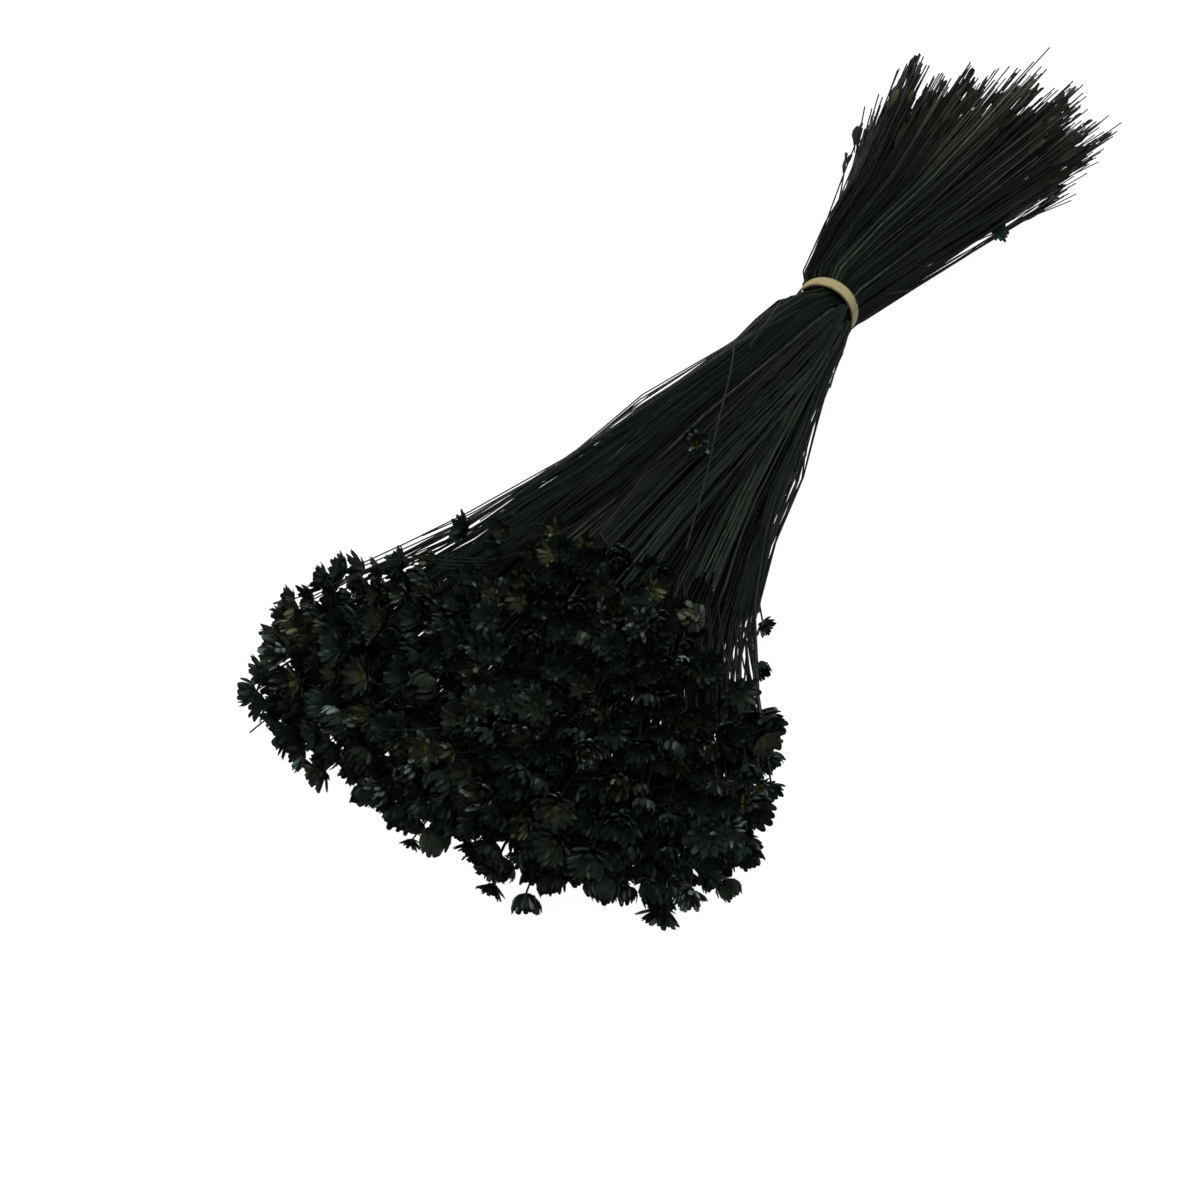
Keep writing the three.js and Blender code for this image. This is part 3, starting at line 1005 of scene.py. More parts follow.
@dataclass
class Strays:
    """Single stalks that stick out of the bunch or lie loose on it, with their places seen from the tie."""

    fly_away: Route = (
        (-0.004, -0.018, 0.011), (-0.0125, -0.052, 0.016), (-0.022, -0.088, 0.0165),
        (-0.03, -0.113, 0.016), (-0.0435, -0.162, 0.016),
    )
    loose_bit: Route = ((-0.025, -0.2485, 0.0215), (-0.0175, -0.2458, 0.022), (-0.01, -0.2405, 0.0215))
    side_stub: Route = ((0.005, 0.011, 0.0), (0.0175, 0.02, 0.001), (0.022, 0.023, 0.0015))
    left_tip: Route = ((-0.061, -0.222, -0.004), (-0.067, -0.243, -0.0035), (-0.068, -0.248, -0.0035))
    low_tip: Route = ((0.004, -0.215, -0.014), (0.0, -0.2435, -0.019), (-0.0013, -0.248, -0.0205))
    long_line: Route = (
        (-0.0135, -0.049, 0.0128), (-0.0075, -0.0655, 0.0158), (0.001, -0.0935, 0.0195),
        (0.008, -0.116, 0.0205), (0.019, -0.154, 0.025),
    )
    short_line: Route = ((-0.012, -0.0138, 0.0092), (-0.0085, -0.0355, 0.0152), (-0.0095, -0.046, 0.0125))
    side_tip: Route = (
        (0.026, -0.081, 0.0), (0.0208, -0.0605, 0.0), (0.0167, -0.0438, 0.0005), (0.015, -0.032, 0.001),
    )
    arch: Route = (
        (-0.016, -0.15, 0.018), (-0.027, -0.1785, 0.022), (-0.043, -0.1865, 0.023),
        (-0.0525, -0.192, 0.0225), (-0.061, -0.202, 0.0205),
    )
    arches: int = 4
    arch_gap: Vector = vector(0.0015, 0.0016, 0.0006)
    darkest: float = 0.35

    def build(self, stalks: Stalks) -> Object:
        """Lays all of them as one piece, the arch as a few stalks side by side.

        Args:
            stalks: What lays them.

        Returns:
            The piece.
        """
        single = (
            self.fly_away, self.loose_bit, self.side_stub, self.left_tip, self.low_tip, self.long_line,
            self.short_line, self.side_tip,
        )
        laid = [[stalks.tie + Vector(place) for place in route] for route in single]
        for number in range(self.arches):
            laid.append([stalks.tie + Vector(place) - self.arch_gap * number for place in self.arch])
        return stalks.build("stray_stalks", laid, self.darkest)


@dataclass(frozen=True)
class Lock:
    """Paler stalks that lie together on top of the others and cross them, seen from the tie.

    They are spread to both sides of their middle, by one distance at the tie and another at the far end.
    """

    middle: Route
    count: int
    spread: tuple[float, float]
    unrest: Place = (0.0008, 0.0008, 0.0004)
    shortest: float = 0.75

    def courses(self, tie: Vector, draw: random.Random) -> list[Course]:
        """Lays out its stalks, which fan out from the tie.

        Args:
            tie: The middle of the tie.
            draw: The source of the small differences.

        Returns:
            Their courses.
        """
        last = len(self.middle) - 1
        laid = []
        for _ in range(self.count):
            side = draw.uniform(-1, 1)
            cut = draw.uniform(self.shortest, 1)
            course = []
            for knot, place in enumerate(self.middle):
                out = Vector((side * mix(*self.spread, knot / last), 0, 0))
                course.append(tie + Vector(place) + out + scattered(draw, Vector(self.unrest)))
            course[-1] = course[-2].lerp(course[-1], cut)
            laid.append(course)
        return laid


@dataclass
class Locks:
    """The locks on top of the bunch."""

    across: Lock = Lock(
        middle=(
            (0.0065, -0.004, 0.007), (0.0085, -0.0285, 0.0055), (0.008, -0.0485, 0.008),
            (0.0072, -0.068, 0.0112), (0.005, -0.099, 0.0155), (0.003, -0.1345, 0.0195),
            (0.004, -0.1795, 0.0275),
        ),
        count=26,
        spread=(0.001, 0.012),
    )
    right: Lock = Lock(
        middle=(
            (0.0085, -0.004, 0.001), (0.0095, -0.0145, 0.0007), (0.0125, -0.0535, 0.0055),
            (0.016, -0.0935, 0.009), (0.021, -0.1265, 0.0125), (0.0275, -0.159, 0.018),
        ),
        count=18,
        spread=(0.0007, 0.0055),
    )
    far_right: Lock = Lock(
        middle=(
            (0.0095, -0.004, -0.001), (0.0108, -0.0155, 0.0003), (0.0195, -0.065, 0.004),
            (0.0255, -0.1025, 0.0065), (0.0325, -0.131, 0.0085), (0.0395, -0.159, 0.009),
        ),
        count=14,
        spread=(0.0005, 0.0035),
    )
    darkest: float = 0.55
    seed: int = 83

    def build(self, stalks: Stalks) -> Object:
        """Lays all of them as one piece.

        Args:
            stalks: What lays them.

        Returns:
            The piece.
        """
        draw = random.Random(self.seed)
        locks = (self.across, self.right, self.far_right)
        courses = [course for lock in locks for course in lock.courses(stalks.tie, draw)]
        return stalks.build("crossing_stalks", courses, self.darkest)


@dataclass
class Sheaths:
    """The papery leaf sheaths near the cut ends: flat ribbons, half rolled round their stalk and frayed."""

    length: float = 0.015
    width: float = 0.0023
    rows: int = 5
    outline: tuple[float, ...] = (0.3, 0.6, 0.85, 1.0, 0.95, 0.6)
    roll: float = 0.28
    twist: float = 24.0
    fray: float = 0.0016
    thickness: float = 0.00011
    variants: int = 5
    share: float = 0.5
    bare: tuple[float, float] = (-0.001, 0.02)
    size: tuple[float, float] = (0.6, 1.25)
    lean: float = 7.0
    width_scatter: float = 0.15
    twist_scatter: float = 0.1
    sharpest: float = 60.0
    seed: int = 29

    def ribbon(self, draw: random.Random) -> Object:
        """Models one sheath, from its foot at the origin along +Y.

        Args:
            draw: The source of the small differences.

        Returns:
            The sheath.
        """
        bpy.ops.mesh.primitive_grid_add(x_subdivisions=2, y_subdivisions=self.rows, size=1)
        piece = bpy.context.object
        with editing(piece):
            for row in range(self.rows, -1, -1):
                flat = row / self.rows - 0.5
                change = draw.uniform(1 - self.width_scatter, 1 + self.width_scatter)
                breadth = self.width * self.outline[row] * change
                pick(piece, lambda at: abs(at.y - flat) < NEAR)
                bpy.ops.transform.resize(value=(breadth, 1, 1))
                pick(piece, lambda at: abs(at.y - flat) < NEAR and abs(at.x) > NEAR)
                bpy.ops.transform.translate(value=(0, 0, breadth * self.roll))
                pick(piece, lambda at: abs(at.y - flat) < NEAR)
                turn = math.radians(self.twist * row) + around(draw, self.twist_scatter)
                bpy.ops.transform.rotate(value=turn, orient_axis="Y", center_override=(0, 0, 0))
            bpy.ops.mesh.select_all(action="SELECT")
            bpy.ops.transform.translate(value=(0, 0.5, 0))
            bpy.ops.transform.resize(value=(1, self.length, 1), center_override=(0, 0, 0))
            tip = self.length - NEAR
            for side in (-1, 0, 1):
                pick(piece, lambda at: at.y > tip and self.side_of(at) == side)
                bpy.ops.transform.translate(value=(0, around(draw, self.fray), 0))
        finish_modifier(piece, "SOLIDIFY", thickness=self.thickness, offset=0)
        smooth(piece, self.sharpest)
        return piece

    @staticmethod
    def side_of(place: Vector) -> int:
        """Whether a place lies left of the middle line, on it or right of it: -1, 0 or 1."""
        return (place.x > NEAR) - (place.x < -NEAR)

    def build(self, courses: list[Course]) -> Object:
        """Sets sheaths on many of the cut ends.

        Args:
            courses: The courses of the stalks, from their cut ends on.

        Returns:
            The piece.
        """
        draw = random.Random(self.seed)
        models = [self.ribbon(draw) for _ in range(self.variants)]
        parts = []
        for course in courses:
            if draw.random() > self.share:
                continue
            size = draw.uniform(*self.size)
            way = (course[0] - course[1]).normalized()
            foot = course[0] - way * (self.length * size + draw.uniform(*self.bare))
            facing = Vector((0, 1, 0)).rotation_difference(way).to_matrix().to_4x4()
            lean = Matrix.Rotation(math.radians(draw.uniform(0, self.lean)), 4, "X")
            turn = Matrix.Rotation(draw.uniform(0, math.tau), 4, "Y")
            place = Matrix.Translation(foot) @ facing @ turn @ lean @ Matrix.Scale(size, 4)
            part = copy_of(draw.choice(models), place)
            paint(part, "tone", draw.random())
            parts.append(part)
        discard(models)
        return joined(parts, "leaf_sheaths")


@dataclass
class RubberBand:
    """The flat rubber band that ties the stalks, leaning a little out of square."""

    offset: ClassVar[Vector] = Vector((-0.0009, 0, 0.0004))

    tie: Vector
    radius: float = 0.0104
    width: float = 0.005
    thickness: float = 0.00075
    lean: float = 3.5
    segments: int = 120
    rows: int = 4
    edge: float = 0.00022
    sharpest: float = 40.0

    def build(self) -> Object:
        """Raises a ring, gives it its thickness and sets it round the stalks.

        Returns:
            The band.
        """
        bpy.ops.mesh.primitive_circle_add(vertices=self.segments, radius=self.radius, fill_type="NOTHING")
        piece = bpy.context.object
        piece.name = "rubber_band_strip"
        with editing(piece):
            bpy.ops.mesh.select_all(action="SELECT")
            bpy.ops.transform.translate(value=(0, 0, -self.width / 2))
            for _ in range(self.rows):
                bpy.ops.mesh.extrude_region_move(
                    TRANSFORM_OT_translate={"value": (0, 0, self.width / self.rows)}
                )
            bpy.ops.mesh.select_all(action="SELECT")
            bpy.ops.mesh.normals_make_consistent(inside=False)
        finish_modifier(piece, "SOLIDIFY", thickness=self.thickness, offset=1)
        finish_modifier(piece, "BEVEL", width=self.edge, segments=2, limit_method="ANGLE")
        self.mark(piece)
        across = Matrix.Rotation(math.radians(90 - self.lean), 4, "X")
        piece.data.transform(Matrix.Translation(self.tie + self.offset) @ across)
        smooth(piece, self.sharpest)
        return piece

    def mark(self, piece: Object) -> None:
        """Notes how far round the ring each point lies, from below, and how near to an edge of the strip.

        Args:
            piece: The band, before it is turned.
        """
        quarter = 0.25
        places = [vertex.co for vertex in piece.data.vertices]
        turns = [(math.atan2(at.y, at.x) / math.tau + quarter) % 1 for at in places]
        edges = [abs(at.z) / self.width * 2 for at in places]
        for name, values in (("turn", turns), ("edge", edges)):
            piece.data.attributes.new(name, "FLOAT", "POINT").data.foreach_set("value", values)


Value = float | tuple[float, ...] | NodeSocket


@dataclass(frozen=True)
class Rise:
    """How a mask goes smoothly from 0 to its top while a value goes from one number to another."""

    start: float
    end: float
    top: float = 1.0


@dataclass
class Graph:
    """A node tree that nodes are added to, with their inputs given as values or as other nodes' outputs."""

    tree: NodeTree

    def fill(self, node: Node, inputs: dict[str | int, Value]) -> None:
        """Sets or links a node's sockets.

        Args:
            node: The node.
            inputs: What goes into its sockets, by name or number.
        """
        for name, value in inputs.items():
            if isinstance(value, NodeSocket):
                self.tree.links.new(value, node.inputs[name])
            else:
                node.inputs[name].default_value = value

    def node(self, kind: str, inputs: dict[str | int, Value], **settings: object) -> Node:
        """Adds one node.

        Args:
            kind: Blender's name for the node type, without "ShaderNode".
            inputs: What goes into its sockets, by name or number.
            settings: The node's own choices.

        Returns:
            The node.
        """
        node = self.tree.nodes.new(f"ShaderNode{kind}")
        for name, value in settings.items():
            setattr(node, name, value)
        self.fill(node, inputs)
        return node

    def attribute(self, name: str) -> NodeSocket:
        """A number that the mesh carries."""
        return self.node("Attribute", {}, attribute_name=name).outputs["Fac"]

    def place(self, stretch: Place = (1, 1, 1)) -> NodeSocket:
        """The place in the model's frame, with each direction squeezed or stretched."""
        here = self.node("TexCoord", {}).outputs["Object"]
        return self.node("Mapping", {"Vector": here, "Scale": stretch}).outputs["Vector"]

    def flat(self) -> NodeSocket:
        """The place on a bract's or sheath's own UV map, whose V runs from its foot to its tip."""
        return self.node("TexCoord", {}).outputs["UV"]

    def parts(self, vector: NodeSocket) -> list[NodeSocket]:
        """A vector's three numbers."""
        return list(self.node("SeparateXYZ", {0: vector}).outputs)

    def noise(self, vector: NodeSocket, scale: Value, detail: float = 2.0) -> NodeSocket:
        """A soft random pattern between 0 and 1."""
        return self.node("TexNoise", {"Vector": vector, "Scale": scale, "Detail": detail}).outputs["Fac"]

    def step(self, value: NodeSocket, rise: Rise) -> NodeSocket:
        """The mask that a rise makes of a value."""
        spans = {"Value": value, "From Min": rise.start, "From Max": rise.end, "To Max": rise.top}
        return self.node("MapRange", spans, interpolation_type="SMOOTHSTEP").outputs["Result"]

    def spread(self, value: NodeSocket, ends: tuple[float, float]) -> NodeSocket:
        """A value from 0 to 1, spread evenly between two ends."""
        return self.node("MapRange", {"Value": value, "To Min": ends[0], "To Max": ends[1]}).outputs["Result"]

    def math(self, operation: str, *values: Value) -> NodeSocket:
        """What a Math node makes of one to three values."""
        return self.node("Math", dict(enumerate(values)), operation=operation).outputs[0]

    def times(self, one: Value, other: Value) -> NodeSocket:
        """A product."""
        return self.math("MULTIPLY", one, other)

    def apart(self, one: Value, other: Value) -> NodeSocket:
        """How far two values lie apart."""
        return self.math("ABSOLUTE", self.math("SUBTRACT", one, other))

    def stretched(self, vector: NodeSocket, factors: Place) -> NodeSocket:
        """A vector with each of its numbers multiplied."""
        return self.node("VectorMath", {0: vector, 1: factors}, operation="MULTIPLY").outputs[0]

    def blend(self, share: Value, one: Value, other: Value) -> NodeSocket:
        """A colour between two others."""
        return self.node("Mix", {0: share, 6: one, 7: other}, data_type="RGBA").outputs[2]

    def bump(self, height: Value, depth: float) -> NodeSocket:
        """A normal that is tilted by a relief of this depth."""
        return self.node("Bump", {"Height": height, "Distance": depth}).outputs["Normal"]


class FibreGroup:
    """The look that all dried plant parts share: fine lines along them, broad soft patches and specks."""

    name = "dried_fibre"
    inputs = (("Along", "NodeSocketVector"), ("Around", "NodeSocketVector"), ("Lines", "NodeSocketFloat"),
              ("Patches", "NodeSocketFloat"))
    outputs = ("Line", "Patch", "Speck")
    line_detail = 3.0
    speck_scale = 2600.0
    rises = (Rise(0.3, 0.7), Rise(0.35, 0.65), Rise(0.55, 0.75))

    @classmethod
    def tree(cls) -> NodeTree:
        """The node group, which is built when it is first asked for."""
        return bpy.data.node_groups.get(cls.name) or cls.build()

    @classmethod
    def build(cls) -> NodeTree:
        """Builds the group.

        Returns:
            The node group, whose outputs run from 0 to 1.
        """
        tree = bpy.data.node_groups.new(cls.name, "ShaderNodeTree")
        for name, kind in cls.inputs:
            tree.interface.new_socket(name, in_out="INPUT", socket_type=kind)
        for name in cls.outputs:
            tree.interface.new_socket(name, in_out="OUTPUT", socket_type="NodeSocketFloat")
        graph = Graph(tree)
        given = tree.nodes.new("NodeGroupInput").outputs
        result = tree.nodes.new("NodeGroupOutput")
        line = graph.noise(given["Along"], given["Lines"], cls.line_detail)
        patch = graph.noise(given["Around"], given["Patches"])
        speck = graph.noise(given["Around"], cls.speck_scale, 1.0)
        for name, pattern, rise in zip(cls.outputs, (line, patch, speck), cls.rises):
            graph.fill(result, {name: graph.step(pattern, rise)})
        return tree


@dataclass(frozen=True)
class Finish:
    """A material, with a shader that has the same base for all of them."""

    name: str = "plain"
    sheen: float = 0.11
    tint: Colour = (0.72, 1.0, 0.76, 1)

    def material(self) -> Material:
        """Makes the material.

        Returns:
            The material.
        """
        material = bpy.data.materials.new(self.name)
        material.use_nodes = True
        shader = material.node_tree.nodes["Principled BSDF"]
        graph = Graph(material.node_tree)
        graph.fill(shader, {"Specular IOR Level": self.sheen, "Specular Tint": self.tint})
        graph.fill(shader, self.surface(graph))
        return material

    def surface(self, graph: Graph) -> dict[str, Value]:
        """What goes into the shader's sockets."""
        raise NotImplementedError

    @staticmethod
    def fibre(
        graph: Graph, along: NodeSocket, around: NodeSocket, lines: float, patches: float
    ) -> list[NodeSocket]:
        """Places the shared fibre group.

        Args:
            graph: The material's nodes.
            along: The places that the lines follow, stretched along them.
            around: The places that the patches and specks follow.
            lines: How fine the lines are.
            patches: How fine the patches are.

        Returns:
            Its lines, patches and specks.
        """
        inputs = {"Along": along, "Around": around, "Lines": lines, "Patches": patches}
        group = graph.node("Group", inputs, node_tree=FibreGroup.tree())
        return [group.outputs[name] for name in FibreGroup.outputs]


@dataclass(frozen=True)
class DyedBract(Finish):
    """Black dyed papery bracts: blue-green in patches partly of painted sheen, paler near the tips from wear
    and painted highlight, olive inside where the dye is thin.

    Each head has a dye, each bract a tone, and each ring of bracts a depth, all from 0 to 1. A bract's length
    runs from its foot to its tip, and beside is how far a place lies from its middle line.
    """

    name: str = "dyed_bract"
    deep: Colour = (0.0068, 0.0105, 0.0069, 1)
    teal_tint_and_sheen: Colour = (0.0105, 0.0215, 0.017, 1)
    # Blue-green for the bracts' own tint and for painted sheen.
    plum: Colour = (0.0105, 0.0118, 0.008, 1)
    # Green-grey for wear, also used as painted highlight near the bract tips.
    wear_and_highlight: Colour = (0.11, 0.135, 0.11, 1)
    # Pale grey of the frosted heads, also used as painted highlight near their bract tips.
    frost_and_highlight: Colour = (0.205, 0.255, 0.245, 1)
    olive: Colour = (0.06, 0.062, 0.024, 1)
    straw: Colour = (0.27, 0.265, 0.145, 1)
    orange: Colour = (0.2, 0.055, 0.01, 1)
    difference: float = 40.0
    vein_stretch: Place = (9.0, 1.2, 1.0)
    vein_scale: float = 1.6
    patch_scale: float = 260.0
    middle: float = 0.5
    crown_length: Rise = Rise(0.25, 0.85)
    crown_beside: Rise = Rise(0.46, 0.18)
    teal_tint_and_sheen_share: float = 0.75
    plum_dye: Rise = Rise(0.5, 0.62, 0.6)
    olive_depth: Rise = Rise(0.1, 0.35)
    olive_length: Rise = Rise(0.85, 0.2)
    olive_dye: Rise = Rise(0.45, 0.95, 0.6)
    wear_and_highlight_tone: Rise = Rise(0.68, 1.0, 0.85)
    frost_from: Rise = Rise(0.72, 0.75)
    frost_until: Rise = Rise(0.86, 0.82)
    frost_and_highlight_tone: Rise = Rise(0.55, 0.95)
    straw_dye: Rise = Rise(0.9, 0.95)
    straw_tone: Rise = Rise(0.5, 0.85)
    straw_depth: Rise = Rise(0.1, 0.6)
    straw_beside: Rise = Rise(0.5, 0.3)
    orange_dye: Rise = Rise(0.985, 0.99)
    orange_depth: Rise = Rise(0.3, 0.6)
    speck_share: float = 0.12
    roughness: tuple[float, float] = (0.42, 0.66)
    relief: float = 0.00012

    def surface(self, graph: Graph) -> dict[str, Value]:
        """Colours the bracts, each head and each bract a little differently, with veins along each bract, and
        paints sheen and highlights into their colour.

        Args:
            graph: The material's nodes.

        Returns:
            What goes into the shader's sockets.
        """
        tone, dye, depth = (graph.attribute(name) for name in ("tone", "dye", "depth"))
        flat = graph.flat()
        own = {0: graph.times(tone, self.difference), 1: graph.times(dye, self.difference)}
        own_place = graph.node("CombineXYZ", own).outputs[0]
        veins = graph.stretched(flat, self.vein_stretch)
        along = graph.node("VectorMath", {0: veins, 1: own_place}, operation="ADD").outputs[0]
        line, patch, speck = self.fibre(graph, along, graph.place(), self.vein_scale, self.patch_scale)
        across, length, _ = graph.parts(flat)
        beside = graph.apart(across, self.middle)
        crown = graph.times(graph.step(length, self.crown_length), graph.step(beside, self.crown_beside))
        # Painted sheen, partly the bracts' own tint: blue-green in soft random patches.
        colour = graph.blend(graph.times(patch, self.teal_tint_and_sheen_share), self.deep, self.teal_tint_and_sheen)
        colour = graph.blend(graph.step(dye, self.plum_dye), colour, self.plum)
        inner = graph.times(graph.step(depth, self.olive_depth), graph.step(length, self.olive_length))
        colour = graph.blend(graph.times(inner, graph.step(dye, self.olive_dye)), colour, self.olive)
        # Painted highlight, partly wear: paler along the middle of some bracts towards their tips, following
        # the veins.
        paler_mask = graph.times(graph.step(tone, self.wear_and_highlight_tone), crown)
        colour = graph.blend(graph.times(paler_mask, line), colour, self.wear_and_highlight)
        # Painted highlight, partly frosted dye: pale grey near the tips of some bracts on heads with a
        # frosted dye.
        frost_and_highlight_mask = graph.times(graph.step(dye, self.frost_from), graph.step(dye, self.frost_until))
        frost_and_highlight_mask = graph.times(frost_and_highlight_mask, graph.times(graph.step(tone, self.frost_and_highlight_tone), crown))
        colour = graph.blend(frost_and_highlight_mask, colour, self.frost_and_highlight)
        bare = graph.times(graph.step(dye, self.straw_dye), graph.step(tone, self.straw_tone))
        bare = graph.times(bare, graph.step(depth, self.straw_depth))
        colour = graph.blend(graph.times(bare, graph.step(beside, self.straw_beside)), colour, self.straw)
        rust = graph.times(graph.step(dye, self.orange_dye), graph.step(depth, self.orange_depth))
        colour = graph.blend(rust, colour, self.orange)
        colour = graph.blend(graph.times(speck, self.speck_share), colour, self.wear_and_highlight)
        rough = graph.spread(patch, self.roughness)
        return {"Base Color": colour, "Roughness": rough, "Normal": graph.bump(line, self.relief)}


@dataclass(frozen=True)
class DyedStalk(Finish):
    """Thin round stalks, dyed nearly black, some browner or greyer, and paler towards their cut ends."""

    tie: float = 0.0
    name: str = "dyed_stalk"
    deep: Colour = (0.0034, 0.0048, 0.0034, 1)
    grey: Colour = (0.0135, 0.019, 0.0142, 1)
    brown: Colour = (0.0125, 0.012, 0.0078, 1)
    pale: Colour = (0.11, 0.114, 0.09, 1)
    line_stretch: Place = (1, 0.04, 1)
    patch_stretch: Place = (1, 0.3, 1)
    line_scale: float = 1500.0
    patch_scale: float = 90.0
    grey_tone: Rise = Rise(0.5, 1.0, 0.9)
    brown_tone: Rise = Rise(0.4, 0.1, 0.7)
    pale_tone: Rise = Rise(0.82, 1.0, 0.6)
    speck_share: float = 0.2
    cut: Rise = Rise(0.055, 0.14, 0.9)
    cut_tone: Rise = Rise(0.45, 1.0)
    roughness: tuple[float, float] = (0.4, 0.62)
    relief: float = 0.00006

    def surface(self, graph: Graph) -> dict[str, Value]:
        """Draws lines along the stalks, and gives each a tone of its own.

        Args:
            graph: The material's nodes.

        Returns:
            What goes into the shader's sockets.
        """
        tone = graph.attribute("tone")
        lines, patches = graph.place(self.line_stretch), graph.place(self.patch_stretch)
        line, patch, speck = self.fibre(graph, lines, patches, self.line_scale, self.patch_scale)
        colour = graph.blend(graph.step(tone, self.grey_tone), self.deep, self.grey)
        colour = graph.blend(graph.times(patch, graph.step(tone, self.brown_tone)), colour, self.brown)
        colour = graph.blend(graph.times(line, graph.step(tone, self.pale_tone)), colour, self.pale)
        colour = graph.blend(graph.times(speck, self.speck_share), colour, self.grey)
        behind = replace(self.cut, start=self.tie + self.cut.start, end=self.tie + self.cut.end)
        _, along, _ = graph.parts(graph.place())
        paler_mask = graph.times(graph.step(along, behind), graph.step(tone, self.cut_tone))
        colour = graph.blend(paler_mask, colour, self.pale)
        rough = graph.spread(line, self.roughness)
        return {"Base Color": colour, "Roughness": rough, "Normal": graph.bump(line, self.relief)}


@dataclass(frozen=True)
class DriedSheath(Finish):
    """Papery leaf sheaths at the cut ends, ribbed along their length, dark with some dull olive ones."""

    name: str = "dried_sheath"
    deep: Colour = (0.006, 0.007, 0.005, 1)
    olive: Colour = (0.045, 0.043, 0.027, 1)
    pale: Colour = (0.13, 0.125, 0.095, 1)
    rib_stretch: Place = (12.0, 0.8, 1.0)
    patch_stretch: Place = (1, 0.4, 1)
    rib_scale: float = 1.5
    patch_scale: float = 160.0
    olive_tone: Rise = Rise(0.2, 0.9)
    frayed_length: Rise = Rise(0.5, 1.0)
    frayed_tone: Rise = Rise(0.6, 0.95, 0.8)
    speck_share: float = 0.25
    roughness: tuple[float, float] = (0.5, 0.75)
    relief: float = 0.00012

    def surface(self, graph: Graph) -> dict[str, Value]:
        """Draws ribs along the sheath and paler frayed ends.

        Args:
            graph: The material's nodes.

        Returns:
            What goes into the shader's sockets.
        """
        tone = graph.attribute("tone")
        flat = graph.flat()
        along, around = graph.stretched(flat, self.rib_stretch), graph.place(self.patch_stretch)
        line, patch, speck = self.fibre(graph, along, around, self.rib_scale, self.patch_scale)
        _, length, _ = graph.parts(flat)
        colour = graph.blend(graph.times(patch, graph.step(tone, self.olive_tone)), self.deep, self.olive)
        frayed = graph.times(graph.step(length, self.frayed_length), graph.step(tone, self.frayed_tone))
        colour = graph.blend(frayed, colour, self.pale)
        colour = graph.blend(graph.times(speck, self.speck_share), colour, self.olive)
        rough = graph.spread(line, self.roughness)
        return {"Base Color": colour, "Roughness": rough, "Normal": graph.bump(line, self.relief)}


@dataclass(frozen=True)
class TanRubber(Finish):
    """Tan rubber with fine pits, faint brown stains from the dye, painted shade on the low parts of its
    sides, and creases across it drawn as dark lines of painted shade.

    Places round the ring and across the strip come from the band's own marks, called turn and edge.
    """

    name: str = "tan_rubber"
    sheen: float = 0.25
    tint: Colour = (1, 1, 1, 1)
    tan: Colour = (0.3, 0.258, 0.127, 1)
    pinkish: Colour = (0.31, 0.206, 0.11, 1)
    # Brown from the dye, also used as painted shade on the low parts of the band's sides.
    dyed: Colour = (0.11, 0.108, 0.045, 1)
    # Near black for painted shade in the band's creases.
    crease_shade: Colour = (0.03, 0.027, 0.014, 1)
    blotch_scale: float = 260.0
    blotches: Rise = Rise(0.45, 0.7, 0.65)
    # Where round the ring the sides are darkened by dye and painted shade.
    dye_and_shade_sides: tuple[Rise, ...] = (Rise(0.41, 0.28, 0.75), Rise(0.6, 0.7, 0.75))
    wave_scale: float = 420.0
    wave_fall: float = -0.5
    stained_edge: Rise = Rise(0.6, 1.1, 0.75)
    stain_scale: float = 700.0
    stains: Rise = Rise(0.58, 0.72, 0.45)
    fine_detail: float = 3.0
    bend_scale: float = 300.0
    bend: float = 0.02
    creases: tuple[float, ...] = (0.252, 0.308, 0.94)
    crease_width: Rise = Rise(0.006, 0.001)
    gap_scale: float = 500.0
    crease_gaps: Rise = Rise(0.4, 0.6)
    pit_scale: float = 3200.0
    roughness: tuple[float, float] = (0.45, 0.7)
    relief: float = 0.00008

    def surface(self, graph: Graph) -> dict[str, Value]:
        """Blotches the tan, dyes its edges, darkens the low parts of its sides with dye and painted shade,
        and draws dark lines of painted shade where it is creased.

        Args:
            graph: The material's nodes.

        Returns:
            What goes into the shader's sockets.
        """
        here = graph.place()
        turn, edge = graph.attribute("turn"), graph.attribute("edge")
        blotch = graph.step(graph.noise(here, self.blotch_scale, self.fine_detail), self.blotches)
        colour = graph.blend(blotch, self.tan, self.pinkish)
        # Painted shade, partly dye: darker on the low parts of the ring's sides, which face away from the
        # light above.
        for side in self.dye_and_shade_sides:
            colour = graph.blend(graph.step(turn, side), colour, self.dyed)
        wavy = graph.math("MULTIPLY_ADD", edge, graph.noise(here, self.wave_scale), self.wave_fall)
        rim = graph.math("ADD", edge, wavy)
        colour = graph.blend(graph.step(rim, self.stained_edge), colour, self.dyed)
        stain = graph.step(graph.noise(here, self.stain_scale, self.fine_detail), self.stains)
        colour = graph.blend(stain, colour, self.dyed)
        bent = graph.math("MULTIPLY_ADD", graph.noise(here, self.bend_scale), self.bend, turn)
        # Painted shade: a dark line across the band where it is creased, broken in places.
        for place in self.creases:
            marked = graph.step(graph.apart(bent, place), self.crease_width)
            marked = graph.times(marked, graph.step(graph.noise(here, self.gap_scale), self.crease_gaps))
            colour = graph.blend(marked, colour, self.crease_shade)
        pits = graph.noise(here, self.pit_scale)
        rough = graph.spread(pits, self.roughness)
        return {"Base Color": colour, "Roughness": rough, "Normal": graph.bump(pits, self.relief)}


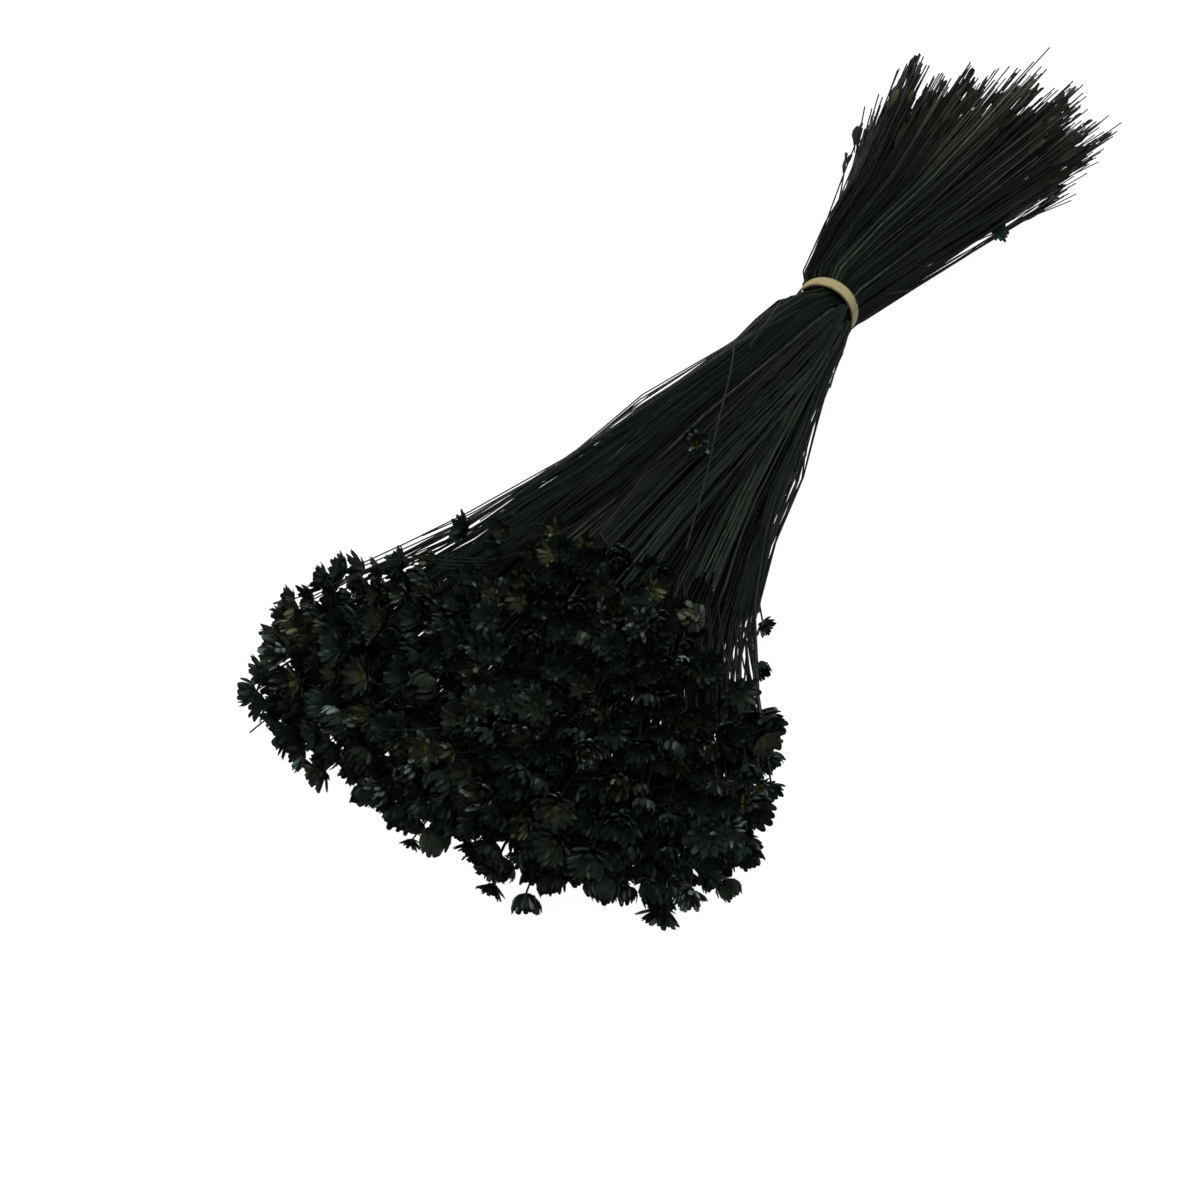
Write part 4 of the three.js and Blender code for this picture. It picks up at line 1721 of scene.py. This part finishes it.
@dataclass(frozen=True)
class PaleFloor(Finish):
    """A white surface that is lit so evenly that it shows next to no shadow."""

    name: str = "pale_floor"
    glow: float = 0.97
    white: Colour = (1, 1, 1, 1)
    ground: Colour = (0.12, 0.12, 0.12, 1)
    lighter: Colour = (0.14, 0.14, 0.14, 1)
    patch_scale: float = 3.0
    roughness: float = 0.9

    def surface(self, graph: Graph) -> dict[str, Value]:
        """Glows evenly white, with the faintest unevenness in the ground under the glow.

        Args:
            graph: The material's nodes.

        Returns:
            What goes into the shader's sockets.
        """
        shade = graph.blend(graph.noise(graph.place(), self.patch_scale), self.ground, self.lighter)
        return {
            "Base Color": shade, "Roughness": self.roughness,
            "Emission Color": self.white, "Emission Strength": self.glow,
        }


@dataclass
class Studio:
    """The white floor, the soft light from above and the camera of the photograph."""

    tie: Vector
    aim: tuple[float, float] = (-0.0181, -0.1355)
    camera_from_aim: Place = (0.1959, -0.3763, 0.4243)
    lens: float = 57.5
    floor_side: float = 6.0
    surround: float = 0.62
    lamp_from_aim: Place = (-0.03, 0.08, 0.94)
    lamp_power: float = 7.0
    lamp_side: float = 0.9

    def build(self) -> None:
        """Sets up the stage, the lights and the camera."""
        aim = Vector((self.tie.x + self.aim[0], self.tie.y + self.aim[1], 0))
        self.camera(aim)
        self.floor()
        self.world()
        self.lamp(aim)
        bpy.context.scene.view_settings.view_transform = "Standard"

    @staticmethod
    def hang(data: Camera | Light, aim: Vector, from_aim: Place) -> Object:
        """Puts a camera or a lamp somewhere, and turns it to where it aims.

        Args:
            data: The camera or the lamp.
            aim: Where it looks or shines.
            from_aim: Its place, as seen from there.

        Returns:
            Its object.
        """
        hung = bpy.data.objects.new(data.name, data)
        hung.location = aim + Vector(from_aim)
        hung.rotation_euler = (aim - hung.location).to_track_quat("-Z", "Y").to_euler()
        bpy.context.collection.objects.link(hung)
        return hung

    def camera(self, aim: Vector) -> None:
        """Puts the camera where the photograph was taken from.

        Args:
            aim: Where it looks.
        """
        data = bpy.data.cameras.new("camera")
        data.lens = self.lens
        bpy.context.scene.camera = self.hang(data, aim, self.camera_from_aim)

    def floor(self) -> None:
        """Lays the white floor."""
        bpy.ops.object.select_all(action="DESELECT")
        bpy.ops.mesh.primitive_plane_add(size=self.floor_side)
        floor = bpy.context.object
        floor.name = "floor"
        floor.data.materials.append(PaleFloor().material())

    def world(self) -> None:
        """Fills the surroundings with even light."""
        world = bpy.data.worlds.new("surround")
        world.use_nodes = True
        background = world.node_tree.nodes["Background"]
        background.inputs["Color"].default_value = PaleFloor.white
        background.inputs["Strength"].default_value = self.surround
        bpy.context.scene.world = world

    def lamp(self, aim: Vector) -> None:
        """Hangs a large soft lamp.

        Args:
            aim: Where it shines.
        """
        data = bpy.data.lights.new("soft_lamp", "AREA")
        data.size = self.lamp_side
        data.energy = self.lamp_power
        self.hang(data, aim, self.lamp_from_aim)


@dataclass
class Bunch:
    """The whole bunch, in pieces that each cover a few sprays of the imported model."""

    tie: Vector
    sprays_per_piece: int = 4

    def read(self) -> list[Spray]:
        """Reads all sprays.

        Returns:
            The sprays, in the order of their names.
        """
        reader = SprayReader(self.tie)
        nodes = sorted(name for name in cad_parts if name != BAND_NODE)
        return [reader.read(name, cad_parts[name]) for name in nodes]

    def build(self) -> None:
        """Builds the heads and stalks group by group, then the sheaths and the stray stalks."""
        sprays = self.read()
        heads = sum(len(spray.flowers) for spray in sprays)
        cut_ends = sum(len(spray.cuts) for spray in sprays)
        LOG.info("%d heads and %d cut ends in the solids", heads, cut_ends)
        RimHeads().add(sprays, self.tie)
        GapHeads().add(sprays, self.tie)
        full, plain = HeadMaker().build(), HeadMaker().build(plain=True)
        flowers, stalks = Flowers(), Stalks(self.tie)
        bract_finish, stalk_finish = DyedBract().material(), DyedStalk(tie=self.tie.y).material()
        laid = {spray.name: stalks.courses(spray) for spray in sprays}
        for start in range(0, len(sprays), self.sprays_per_piece):
            group = sprays[start:start + self.sprays_per_piece]
            names = [spray.name for spray in group]
            number = start // self.sprays_per_piece + 1
            courses = [course for name in names for course in laid[name]]
            dress(flowers.build(f"flowers_{number:02d}", group, full, plain), bract_finish, names)
            dress(stalks.build(f"stalks_{number:02d}", courses), stalk_finish, names)
        discard(model for models in (full, plain) for variants in models.values() for model in variants)
        sheaths = Sheaths().build([course for courses in laid.values() for course in courses])
        dress(sheaths, DriedSheath().material(), [])
        dress(Strays().build(stalks), stalk_finish, [])
        dress(Locks().build(stalks), stalk_finish, [])


def dress(piece: Object, finish: Material, nodes: list[str]) -> None:
    """Gives a finished piece its material, fixes it to the root body and hides the solids that it takes the
    place of.

    Args:
        piece: The piece.
        finish: Its material.
        nodes: The solids that it takes the place of.
    """
    piece.data.materials.clear()
    piece.data.materials.append(finish)
    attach(piece, ROOT)
    if nodes:
        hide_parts(*nodes)
    LOG.info("%s: %d faces", piece.name, len(piece.data.polygons))


def main() -> None:
    """Builds the bunch, its band and the studio."""
    logging.basicConfig(level=logging.INFO, format="%(message)s")
    low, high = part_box(BAND_NODE)
    tie = (low + high) / 2
    Studio(tie).build()
    Bunch(tie).build()
    dress(RubberBand(tie).build(), TanRubber().material(), [BAND_NODE])


if __name__ == "__main__":
    main()
